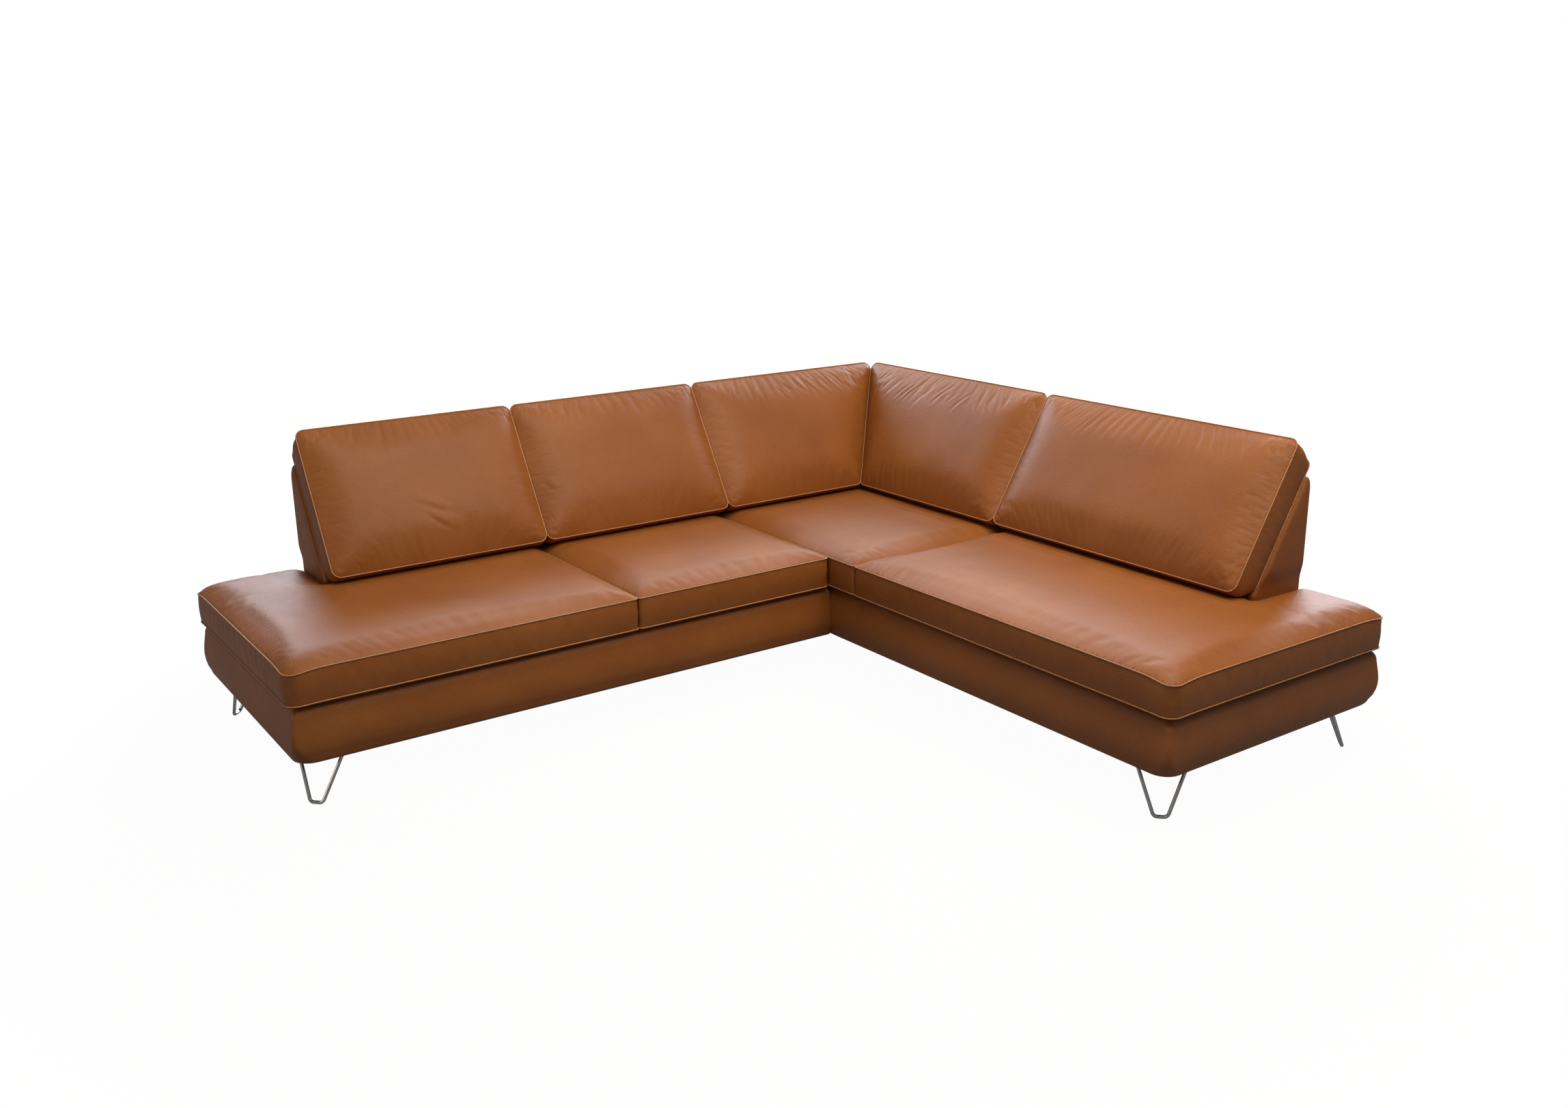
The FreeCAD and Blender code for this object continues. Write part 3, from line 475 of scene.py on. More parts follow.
def new_piece(name, places, faces, body, material):
    mesh = bpy.data.meshes.new(name)
    mesh.from_pydata([tuple(place) for place in places], [], faces)
    mesh.update()
    mesh.polygons.foreach_set("use_smooth", [True] * len(mesh.polygons))
    piece = bpy.data.objects.new(name, mesh)
    scene.collection.objects.link(piece)
    mesh.materials.append(material)
    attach(piece, body)
    return piece


def strip(first, second):
    """Quads between two rings of equal length, given as lists of point numbers."""
    size = len(first)
    return [
        [first[i], first[(i + 1) % size], second[(i + 1) % size], second[i]] for i in range(size)
    ]


def welt(line):
    """A round welt along a closed line in space."""
    line = np.asarray(line)
    ahead = directions(np.roll(line, -1, axis=0) - np.roll(line, 1, axis=0))
    out = line - line.mean(0)
    out = directions(out - (out * ahead).sum(1)[:, None] * ahead)
    side = np.cross(ahead, out)
    line = line + out * WELT * WELT_PROUD
    places, faces = [], []
    size = len(line)
    for k in range(WELT_SIDES):
        angle = 2 * math.pi * k / WELT_SIDES
        places.append(line + WELT * (out * math.cos(angle) + side * math.sin(angle)))
    for k in range(WELT_SIDES):
        first = [k * size + i for i in range(size)]
        second = [(k + 1) % WELT_SIDES * size + i for i in range(size)]
        faces += strip(first, second)
    return np.concatenate(places), faces


class Box:
    """A boxed cushion before it is made: points, faces and how far each point may swell."""

    def __init__(self):
        self.places, self.rooms, self.faces = [], [], []
        self.size = 0

    def ring(self, points, room=0.0):
        self.places.append(np.asarray(points, float))
        self.rooms.append(np.zeros(len(points)) + room)
        numbers = list(range(self.size, self.size + len(points)))
        self.size += len(points)
        return numbers

    def layer(self, line, height, room=0.0):
        """A ring along a flat line, at one height."""
        return self.ring(np.column_stack([line, np.full(len(line), height)]), room)

    def join(self, first, second):
        self.faces += strip(first, second)

    def panel(self, ring, line, height, step, shape, upwards, room=0.0):
        """Fills a ring with a panel. Shape gives each inner point's height over the ring."""
        every, faces = filled(line, step)
        inner = every[len(line):]
        if callable(room):
            room = room(inner)
        start = self.size
        self.ring(np.column_stack([inner, height + shape(inner)]), room)
        number = ring + list(range(start, self.size))
        for face in faces:
            corners = [number[i] for i in face]
            if not upwards:
                corners.reverse()
            self.faces.append(corners)

    def flat(self):
        return np.concatenate(self.places)

    def room(self):
        return np.concatenate(self.rooms)


def crown(corners, line, height, reach, side_reaches=None, line_reaches=None):
    """A panel's rise: steep at its seams, level past its reach, with soft valleys to its corners."""
    ends = np.roll(corners, -1, axis=0)
    shares = np.ones(len(corners)) if side_reaches is None else side_reaches

    def shape(points):
        total = np.zeros(len(points))
        for start, end, share in zip(corners, ends, shares):
            along = end - start
            place = np.clip((points - start) @ along / (along @ along), 0, 1)
            gap = np.linalg.norm(points - start - place[:, None] * along, axis=1)
            total += np.maximum(gap / (reach * share), LEAST_GAP) ** -SOFT_VALLEY
        nearest = gaps_to_line(points, line, line_reaches) / reach
        share = np.clip(np.minimum(total ** (-1 / SOFT_VALLEY), nearest), 0, 1)
        return height * (1 - (1 - share) ** CROWN_STEEP)
    return shape


def level(points):
    return np.zeros(len(points))


def eased(share):
    """A share from 0 to 1 that starts and ends gently."""
    return share * share * (3 - 2 * share)


def read_places(mesh):
    places = np.zeros(len(mesh.vertices) * 3)
    mesh.vertices.foreach_get("co", places)
    return places.reshape(-1, 3)


def write_places(mesh, places):
    mesh.vertices.foreach_set("co", np.asarray(places).ravel())
    mesh.update()


def swell(piece, rooms):
    """Air pressure fills the leather, as cloth that is held at its seams and where it rests."""
    held = piece.vertex_groups.new(name="held")
    held.add([i for i, room in enumerate(rooms) if room == 0], 1, "REPLACE")
    cloth = piece.modifiers.new("swell", "CLOTH")
    cloth.collision_settings.use_collision = False
    made = cloth.settings
    made.quality = CLOTH_QUALITY
    made.mass = CLOTH_MASS
    made.tension_stiffness = CLOTH_STRETCH
    made.compression_stiffness = CLOTH_STRETCH
    made.shear_stiffness = CLOTH_SHEAR
    made.bending_stiffness = CLOTH_BEND
    made.use_pressure = True
    made.uniform_pressure_force = PRESSURE
    made.shrink_min = -SLACK
    made.vertex_group_mass = held.name
    made.effector_weights.gravity = 0
    cloth.point_cache.frame_end = CLOTH_FRAMES
    for number in range(1, CLOTH_FRAMES + 1):
        scene.frame_set(number)
    shape = piece.evaluated_get(bpy.context.evaluated_depsgraph_get())
    before = read_places(piece.data)
    moved = read_places(shape.data) - before
    length = np.maximum(np.linalg.norm(moved, axis=1), TINY)
    limit = np.maximum(rooms, TINY)
    share = np.tanh(length / limit) * limit / length
    piece.modifiers.remove(cloth)
    piece.vertex_groups.remove(held)
    scene.frame_set(1)
    write_places(piece.data, before + moved * share[:, None])


def finer(piece, seams):
    """One subdivision that stays sharp at the seams. Gives each seam's points in the new mesh."""
    mesh = piece.data
    number = {tuple(sorted(edge.vertices)): edge.index for edge in mesh.edges}
    sharp = mesh.attributes.new("crease_edge", "FLOAT", "EDGE")
    lines = []
    for seam in seams:
        line = []
        for a, b in zip(seam, seam[1:] + seam[:1]):
            edge = number[(min(a, b), max(a, b))]
            sharp.data[edge].value = 1
            line += [a, len(mesh.vertices) + edge]
        lines.append(line)
    split = piece.modifiers.new("finer", "SUBSURF")
    split.levels = 1
    split.render_levels = 1
    shape = piece.evaluated_get(bpy.context.evaluated_depsgraph_get())
    fine = bpy.data.meshes.new_from_object(shape)
    piece.modifiers.clear()
    piece.data = fine
    return lines


def waves(places, size, height, seed):
    """Slow unevenness of a stuffed face, from smooth noise."""
    shift = Vector([seed * part for part in WAVE_SEEDS])
    return height * np.array([noise.noise(Vector(place) / size + shift) for place in places])


def frame_body(node):
    for body, nodes in frame["record"]["behaviour"]["bodies"].items():
        if node in nodes:
            return body
    return "root"


def add_welts(piece, lines, material):
    """Sewn seams as thin raised welts, in the cushion's own mesh, in a paler leather that paints a
    highlight along them, with some edge wear.
    """
    mesh = piece.data
    places = [read_places(mesh)]
    faces = [list(polygon.vertices) for polygon in mesh.polygons]
    plain_faces = len(faces)
    size = len(places[0])
    for line in lines:
        more, quads = welt(line)
        places.append(more)
        faces += [[corner + size for corner in quad] for quad in quads]
        size += len(more)
    mesh.clear_geometry()
    mesh.from_pydata([tuple(place) for place in np.concatenate(places)], [], faces)
    mesh.materials.append(material)
    finish = np.zeros(len(faces), int)
    finish[plain_faces:] = 1
    mesh.polygons.foreach_set("material_index", finish)
    mesh.polygons.foreach_set("use_smooth", [True] * len(faces))
    mesh.update()


# Seat cushions

SEATS = ("end_seat", "middle_seat", "corner_seat", "chaise_seat")
FROM_ABOVE = Plane((0, 0, 0), (1, 0, 0), (0, 1, 0))


def seat_outline(name):
    node = f"{name}_cover"
    seam_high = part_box(node)[1].z - SEAT_CROWN
    return sharp_outline(section(node, FROM_ABOVE, seam_high - BELOW_SEAM))


seat_outlines = {name: seat_outline(name) for name in SEATS}


def in_open_air(points, own):
    """Which points are clear of the other seat cushions and of the backrests."""
    free = np.ones(len(points), bool)
    for name, (corners, _) in seat_outlines.items():
        if name != own:
            free &= ~inside(points, corners)
    for side in ("left", "corner", "right"):
        low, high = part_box(f"{side}_back_cover")
        within = (points > np.array(low)[:2] - NEXT_TO) & (points < np.array(high)[:2] + NEXT_TO)
        free &= ~within.all(1)
    return free


def outward(line):
    """The way out of a closed line at each of its points."""
    ahead = directions(np.roll(line, -1, axis=0) - np.roll(line, 1, axis=0))
    return np.stack([ahead[:, 1], -ahead[:, 0]], 1)


def free_corners(corners, own):
    """The outer corners of a seat cushion with nothing beside them."""
    found = []
    befores, afters = np.roll(corners, 1, axis=0), np.roll(corners, -1, axis=0)
    for before, corner, after in zip(befores, corners, afters):
        u = direction(corner - before)
        v = direction(after - corner)
        if u[0] * v[1] - u[1] * v[0] < SQUARE_TURN:
            continue
        away = np.array([u[1], -u[0]]), np.array([v[1], -v[0]])
        probes = [
            corner - u * DROOP_SPREAD + away[0] * NEXT_TO,
            corner + v * DROOP_SPREAD + away[1] * NEXT_TO,
        ]
        if in_open_air(np.array(probes), own).all():
            found.append(corner)
    return found


def under_backs(points):
    """How far points lie in front of the back cushions, less than zero beneath them."""
    left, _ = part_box("middle_back_cushion_cover")
    right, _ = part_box("chaise_back_cushion_cover")
    end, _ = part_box("end_back_cushion_cover")
    ahead = np.full(len(points), 1.0)
    in_left = (points[:, 0] > end.x) & (points[:, 1] > left.y - BACKS_AHEAD)
    ahead = np.where(in_left, np.minimum(ahead, left.y - points[:, 1]), ahead)
    in_right = (points[:, 1] > right.y) & (points[:, 0] > right.x - BACKS_AHEAD)
    return np.where(in_right, np.minimum(ahead, right.x - points[:, 0]), ahead)


def slimmer(corners):
    """The middle cushion's outline with room to slide out past the chaise cushion."""
    at_side = corners[:, 0] > corners[:, 0].max() - SLIDE_ROOM
    insets = [SLIDE_ROOM if a and b else 0 for a, b in zip(at_side, np.roll(at_side, -1))]
    return moved_sides(corners, insets)


def seat_cushion(name, materials):
    node = f"{name}_cover"
    low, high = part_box(node)
    seam_high = high.z - SEAT_CROWN
    seam_low = low.z + SEAT_BEVEL
    corners, radii = seat_outlines[name]
    if name == "middle_seat":
        corners = slimmer(corners)
    counts = side_counts(corners, radii, SEAT_STEP)
    line = rounded_line(corners, radii, counts)
    rear_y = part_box("middle_seat_cover")[1].y
    rear_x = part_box("corner_seat_cover")[1].x

    def rear_reaches(starts):
        """A side that ends under the back cushions rises within a shorter reach."""
        ahead = np.roll(starts, -1, axis=0) - starts
        middle = starts + ahead / 2
        at_rear = (abs(middle[:, 1] - rear_y) < SAME_SIDE) & (abs(ahead[:, 0]) > abs(ahead[:, 1]))
        at_rear |= (abs(middle[:, 0] - rear_x) < SAME_SIDE) & (abs(ahead[:, 1]) > abs(ahead[:, 0]))
        return np.where(at_rear, REAR_REACH, 1.0)

    out = outward(line)
    free = in_open_air(line + out * NEXT_TO, name).astype(float)
    border_room = TIGHT_ROOM + (BORDER_ROOM - TIGHT_ROOM) * free

    def crown_room(points):
        share = np.clip(under_backs(points) / BACKS_FADE, 0, 1)
        return TIGHT_ROOM + (CROWN_ROOM - TIGHT_ROOM) * share

    rise = crown(
        corners, line, SEAT_CROWN, SEAT_REACH, rear_reaches(corners), rear_reaches(line)
    )
    box = Box()
    top = box.layer(line, seam_high)
    box.panel(top, line, seam_high, SEAT_STEP, rise, True, crown_room)
    before = top
    for k in range(1, SEAT_RINGS + 1):
        z = seam_high + (seam_low - seam_high) * k / SEAT_RINGS
        bulge = BORDER_ROOM / 2 * math.sin(math.pi * k / SEAT_RINGS) * free
        room = border_room if k < SEAT_RINGS else 0
        ring = box.layer(line + out * bulge[:, None], z, room)
        box.join(ring, before)
        before = ring
    bottom = before
    for share in TUCK_SHARES:
        z = seam_low - SEAT_BEVEL * (1 - (1 - share) ** 2)
        tucked = moved_sides(corners, [SEAT_TUCK * share] * len(corners))
        inner = rounded_line(tucked, radii, counts)
        ring = box.layer(inner, z)
        box.join(ring, before)
        before = ring
    box.panel(before, inner, low.z, UNDER_STEP, level, False)
    flat = box.flat()
    for corner in free_corners(corners, name):
        gap = np.linalg.norm(flat[:, :2] - corner, axis=1)
        lift = np.minimum((flat[:, 2] - seam_low) / (seam_high - seam_low), 1)
        lift = lift * (1 - LOW_DROOP) + LOW_DROOP
        lift = np.where(flat[:, 2] < seam_low - SEAT_BEVEL / 2, 0, lift)
        flat[:, 2] -= CORNER_DROOP * np.exp(-(gap / DROOP_SPREAD) ** 2) * lift
    piece = new_piece(name, flat, box.faces, frame_body(node), materials[0])
    swell(piece, box.room())
    lines = finer(piece, [top, bottom])
    places = read_places(piece.data)
    above = np.clip((places[:, 2] - seam_high) / SEAT_CROWN, 0, 1)
    ahead = under_backs(places[:, :2])
    calm = np.clip(ahead / BACKS_FADE, 0, 1)
    uneven = waves(places, SEAT_WAVE_SIZE, WAVE, SEATS.index(name)) - WAVE * WAVE_SINK
    places[:, 2] += uneven * above * calm
    start = eased(np.clip(ahead / PUFF_AT, 0, 1))
    puff = PUFF * np.exp(-((ahead - PUFF_AT) / PUFF_AT) ** 2) * start
    places[:, 2] += puff * above
    limit = high.z + MOST_RISE * np.clip(ahead / RISE_FADE, 0, 1)
    places[:, 2] = np.minimum(places[:, 2], limit)
    write_places(piece.data, places)
    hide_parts(node, f"{name}_core")
    add_welts(piece, [places[line] for line in lines], materials[1])


# Back cushions

def back_plane(wing, node):
    """The plane of a back cushion's rear face, with its up along the lean."""
    lean = math.radians(BACK_LEAN)
    if wing == "left":
        across, up = (1, 0, 0), (0, math.sin(lean), math.cos(lean))
    else:
        across, up = (0, -1, 0), (math.sin(lean), 0, math.cos(lean))
    plane = Plane((0, 0, 0), across, up)
    places, _ = skin(node)
    flat = plane.flat(places)
    plane.spot = plane.facing * flat[:, 2].min()
    return plane


def alike(corners, first):
    """The same outline, starting at the corner nearest to another outline's first."""
    near = np.linalg.norm(corners - first, axis=1).argmin()
    return np.roll(corners, -near, axis=0)


class Crease:
    """A short fold in a face, from one spot to another, in shares of the face's width and height."""

    FADE = 1.5
    SWAY = 0.5
    SWAY_TURN = 4
    RIDGE_GAP = 1.9
    RIDGE_WIDTH = 1.2
    RIDGE_HEIGHT = 0.7

    def __init__(self, start, end, depth, width):
        self.start, self.end = np.array(start), np.array(end)
        self.depth, self.width = depth, width

    def dent(self, points, low, size):
        """How far each point of the face sinks, or rises beside the fold."""
        start, end = low + self.start * size, low + self.end * size
        along = end - start
        length = np.linalg.norm(along)
        along = along / length
        moved = points - start
        place = moved @ along / length
        gap = moved @ np.array([-along[1], along[0]])
        along_it = (place > 0) & (place < 1)
        fade = np.where(along_it, np.sin(math.pi * np.clip(place, 0, 1)) ** self.FADE, 0)
        gap = gap + self.width * self.SWAY * np.sin(place * self.SWAY_TURN)
        fold = np.exp(-(gap / self.width) ** 2)
        beside = gap - self.RIDGE_GAP * self.width
        ridge = np.exp(-(beside / (self.RIDGE_WIDTH * self.width)) ** 2)
        return self.depth * fade * (self.RIDGE_HEIGHT * ridge - fold)


FAN_SHIFT = 0.3
FAN_TOP = 0.965
FAN_DROP = 0.10
FAN_LENGTHS = (0.6, 1.25)
FAN_DEPTHS = (0.6, 1.1)
FAN_WIDTHS = (0.8, 1.2)


def fan(count, first, last, lean, length, depth, width, seed):
    """Short creases under a top seam, spread along it."""
    random = np.random.default_rng(seed)
    creases = []
    for k in range(count):
        shift = random.uniform(-FAN_SHIFT, FAN_SHIFT)
        across = first + (last - first) * (k + shift) / (count - 1)
        top = FAN_TOP - random.uniform(0, FAN_DROP)
        reach = length * random.uniform(*FAN_LENGTHS)
        deep = depth * random.uniform(*FAN_DEPTHS)
        wide = width * random.uniform(*FAN_WIDTHS)
        creases.append(Crease((across, top), (across + lean * reach, top - reach), deep, wide))
    return creases


CREASES = {
    "end_back": [
        Crease((0.38, 0.42), (0.62, 0.24), 0.0020, 0.011),
        Crease((0.42, 0.34), (0.58, 0.13), 0.0022, 0.009),
        Crease((0.52, 0.52), (0.64, 0.16), 0.0012, 0.018),
    ],
    "middle_back": [Crease((0.04, 0.44), (0.09, 0.30), 0.0012, 0.010)],
    "corner_left_back": fan(11, 0.40, 0.95, 0.28, 0.19, 0.0021, 0.0060, 5),
    "corner_right_back": fan(13, 0.06, 0.66, -0.34, 0.22, 0.0017, 0.0060, 9),
    "chaise_back": [Crease((0.92, 0.12), (0.985, 0.03), 0.0016, 0.009)],
}


def back_cushion(name, wing, open_sides, mitred_side, materials):
    node = f"{name}_cushion_cover"
    low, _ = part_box(node)
    plane = back_plane(wing, node)
    front, _ = sharp_outline(section(node, plane, BORDER - IN_FROM_SEAM))
    middle, _ = sharp_outline(section(node, plane, BORDER / 2))
    rear, _ = sharp_outline(section(node, plane, BORDER * NEAR_REAR))
    middle, rear = alike(middle, front[0]), alike(rear, front[0])
    radii = np.full(len(front), BACK_CORNER)
    counts = side_counts(front, radii, BACK_STEP)
    line = rounded_line(front, radii, counts)
    out = outward(line)
    free = np.clip(out[:, 1], 0, 1)
    if "left" in open_sides:
        free = np.maximum(free, np.clip(-out[:, 0], 0, 1))
    if "right" in open_sides:
        free = np.maximum(free, np.clip(out[:, 0], 0, 1))
    border_room = TIGHT_ROOM + (BORDER_ROOM - TIGHT_ROOM) * free

    def crown_room(points):
        room = np.full(len(points), CROWN_ROOM)
        if mitred_side == "left":
            room *= np.clip((points[:, 0] - line[:, 0].min()) / MITRE_FADE, LEAST_SHARE, 1)
        if mitred_side == "right":
            room *= np.clip((line[:, 0].max() - points[:, 0]) / MITRE_FADE, LEAST_SHARE, 1)
        return room * np.clip((points[:, 1] - line[:, 1].min()) / FOOT_FADE, LEAST_SHARE, 1)

    rise = crown(front, line, BACK_CROWN, BACK_REACH)
    box = Box()
    top = box.layer(line, BORDER)
    box.panel(top, line, BORDER, BACK_STEP, rise, True, crown_room)
    before = top
    borders = []
    for k in range(1, BACK_RINGS + 1):
        share = 1 - k / BACK_RINGS
        if share > 0.5:
            corners = middle + (front - middle) * (share - 0.5) * 2
        else:
            corners = rear + (middle - rear) * share * 2
        bulge = BORDER_ROOM / 2 * math.sin(math.pi * share) * free
        ring_line = rounded_line(corners, radii, counts) + out * bulge[:, None]
        ring = box.layer(ring_line, BORDER * share, border_room if k < BACK_RINGS else 0)
        box.join(ring, before)
        borders.append(ring)
        before = ring
    box.panel(before, ring_line, 0, UNDER_STEP, level, False)
    places = plane.solid(box.flat())
    downward = np.clip((-out[:, 1] - DOWN_FROM) / DOWN_SPAN, 0, 1)
    seam_z = places[top, 2]
    for k, ring in enumerate(borders, 1):
        share = 1 - k / BACK_RINGS
        rest_z = low.z + np.maximum(seam_z - low.z, 0) * share ** DROP_STEEP
        places[ring, 2] += (np.minimum(rest_z, places[ring, 2]) - places[ring, 2]) * downward
    piece = new_piece(f"{name}_cushion", places, box.faces, frame_body(node), materials[0])
    swell(piece, box.room())
    lines = finer(piece, [top, before])
    flat = plane.flat(read_places(piece.data))
    above = np.clip((flat[:, 2] - BORDER) / (BACK_CROWN * RISEN), 0, 1)
    flat[:, 2] += waves(flat, BACK_WAVE_SIZE, WAVE, len(name)) * above
    corner = line.min(0)
    size = line.max(0) - corner
    for crease in CREASES[name]:
        flat[:, 2] += crease.dent(flat[:, :2], corner, size) * above
    places = plane.solid(flat)
    places[:, 2] = np.maximum(places[:, 2], low.z)
    write_places(piece.data, places)
    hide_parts(node, f"{name}_cushion_core")
    add_welts(piece, [places[line] for line in lines], materials[1])


# Bases

def base_cover(side, material):
    """The leather of a base, turned in over the deck and under the frame."""
    node = f"{side}_base_cover"
    low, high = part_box(node)
    middle_z = (low.z + high.z) / 2
    corners, found = sharp_outline(section(node, FROM_ABOVE, middle_z))
    count = len(corners)
    closed = [max(found[i], found[(i + 1) % count]) > ROUND_CORNER for i in range(count)]
    layers = [(LIP, low.z + HIDE), (LIP, low.z)]
    roll_z = low.z - BASE_SAG + BASE_ROLL
    for angle in np.linspace(ROLL_FROM, 90, ROLL_POINTS):
        turn = math.radians(angle)
        layers.append((BASE_ROLL * (1 - math.sin(turn)), roll_z - BASE_ROLL * math.cos(turn)))
    shoulder_z = high.z - BASE_SHOULDER
    for share in np.linspace(0, 1, SIDE_POINTS)[1:-1]:
        height = roll_z + (shoulder_z - roll_z) * share
        layers.append((-BASE_BULGE * math.sin(math.pi * share ** BULGE_LOW), height))
    for angle in np.linspace(90, 0, SHOULDER_POINTS):
        turn = math.radians(angle)
        layers.append((
            BASE_ROUND * (1 - math.sin(turn)), high.z - BASE_SHOULDER * (1 - math.cos(turn))
        ))
    layers += [(LIP, high.z), (LIP, high.z - HIDE)]
    box, before = Box(), None
    for inset, height in layers:
        insets = [inset if closed[i] or inset == LIP else 0 for i in range(count)]
        lower = max(0, (middle_z - height) / (middle_z - low.z))
        round_here = BASE_CORNER * (1 + min(1, max(0, inset / BASE_ROUND)))
        round_here += BASE_LOW_CORNER * min(1, lower) ** 2
        radii = [round_here if radius > ROUND_CORNER else SHARP_CORNER for radius in found]
        line_corners = moved_sides(corners, insets)
        if before is None:
            counts = side_counts(line_corners, np.array(radii), BASE_STEP)
        line = rounded_line(line_corners, radii, counts)
        ring = box.layer(line, height)
        if before:
            box.join(before, ring)
        before = ring
    piece = new_piece(f"{side}_base", box.flat(), box.faces, "root", material)
    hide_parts(node, f"{side}_base_padding")


def deck_pad(side, material):
    """The quilted felt pad over the springs."""
    node = f"{side}_deck_pad"
    low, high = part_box(node)
    corners, _ = sharp_outline(section(node, FROM_ABOVE, (low.z + high.z) / 2))
    radii = np.full(len(corners), DECK_CORNER)
    counts = side_counts(corners, radii, DECK_STEP)
    line = rounded_line(corners, radii, counts)
    top_z = high.z - HIDE

    def quilted(points):
        """Sewn channels both ways, and a soft edge."""
        channels = np.abs(np.sin(math.pi * points / QUILT)).min(1)
        edge = np.clip(gaps_to_line(points, line) / QUILT_EDGE, 0, 1)
        return -QUILT_DEPTH * (1 - channels) ** 3 - EDGE_DEPTH * (1 - edge)

    box = Box()
    top = box.layer(line, top_z - DECK_BEVEL)
    box.panel(top, line, top_z, DECK_STEP, quilted, True)
    bottom = box.layer(line, low.z)
    box.join(bottom, top)
    box.panel(bottom, line, low.z, DECK_UNDER_STEP, level, False)
    piece = new_piece(node, box.flat(), box.faces, "root", material)
    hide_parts(node)


def dust_cover(side, material):
    """The black cloth that is stapled under the frame and sags a little between its rails."""
    node = f"{side}_dust_cover"
    low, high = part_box(node)
    lines = sections(node, FROM_ABOVE, (low.z + high.z) / 2)
    lines.sort(key=line_length)
    outer, holes = lines[-1], lines[:-1]
    if signed_area(outer) < 0:
        outer = outer[::-1]
    every, faces = filled(outer, DUST_STEP)
    middle = np.array([every[face].mean(0) for face in faces])
    whole = np.ones(len(faces), bool)
    for hole in holes:
        whole &= ~inside(middle, hole)
    sag = DUST_SAG * np.clip(gaps_to_line(every, outer) / SAG_FADE, 0, 1)
    sag += waves(np.column_stack([every, level(every)]), DUST_WAVE_SIZE, DUST_WAVE, DUST_SEED)
    places = np.column_stack([every, low.z - np.maximum(sag, 0)])
    kept = [face[::-1] for face, stays in zip(faces, whole) if stays]
    used = sorted({corner for face in kept for corner in face})
    number = {corner: i for i, corner in enumerate(used)}
    kept = [[number[corner] for corner in face] for face in kept]
    piece = new_piece(node, places[used], kept, "root", material)
    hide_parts(node)


# Backrests

def backrest(side, wing, mitred, material):
    """A wedge of leather over a board, with soft edges at its ends."""
    node = f"{side}_back_cover"
    low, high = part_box(node)
    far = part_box("right_back_cover")[1]
    if wing == "left":
        plane = Plane((0, 0, 0), (0, 1, 0), (0, 0, 1))
        start, end, way = low.x, high.x, 1
    else:
        plane = Plane((0, 0, 0), (1, 0, 0), (0, 0, 1))
        start, end, way = -low.y, -high.y, -1
    corners, _ = sharp_outline(section(node, plane, start + way * REST_SECTION))
    count = len(corners)
    foot_z = low.z + FOOT_HEIGHT
    radii = np.array([FOOT_CORNER if z < foot_z else REST_CORNER for _, z in corners])
    counts = side_counts(corners, radii, BASE_STEP)

    def mitre(across):
        if wing == "left":
            return far.x + across - far.y
        return -(far.y + across - far.x)

    soft = SOFT_END if side != "corner" else MITRED_END
    stations = []
    for angle in np.linspace(0, 90, END_POINTS):
        turn = math.radians(angle)
        stations.append((soft * (1 - math.cos(turn)), 0, soft * (1 - math.sin(turn))))
    steps = max(2, round(abs(end - start) / REST_STEP))
    for share in np.linspace(0, 1, steps + 1)[1:-1]:
        stations.append((0, share, 0))
    halfway = MITRED_END * HALF_ROUND
    stations += [(-MITRED_END, 1, 0), (-halfway, 1, halfway), (0, 1, MITRED_END)]
    box, before = Box(), None
    for shift, share, inset in stations:
        line = rounded_line(moved_sides(corners, [inset] * count), radii, counts)
        last = mitre(line[:, 0]) if mitred else np.full(len(line), end)
        place = start + (last - start) * share + way * shift
        ring = box.ring(np.column_stack([line, place]))
        if before is None:
            box.panel(ring, line, start, BASE_STEP, level, wing != "left")
        elif wing == "left":
            box.join(before, ring)
        else:
            box.join(ring, before)
        before = ring
    places = plane.solid(box.flat())
    if side != "corner":
        axis = 0 if wing == "left" else 1
        end_place = low.x if wing == "left" else low.y
        near = np.clip(1 - (places[:, axis] - end_place) / BULGE_FADE, 0, 1)
        above = np.clip((places[:, 2] - END_BULGE_FROM) / BULGE_RISE, 0, 1)
        places[:, axis] -= END_BULGE * near * eased(above)
    piece = new_piece(f"{side}_backrest", places, box.faces, "root", material)
    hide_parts(node, f"{side}_back_padding")


# Materials

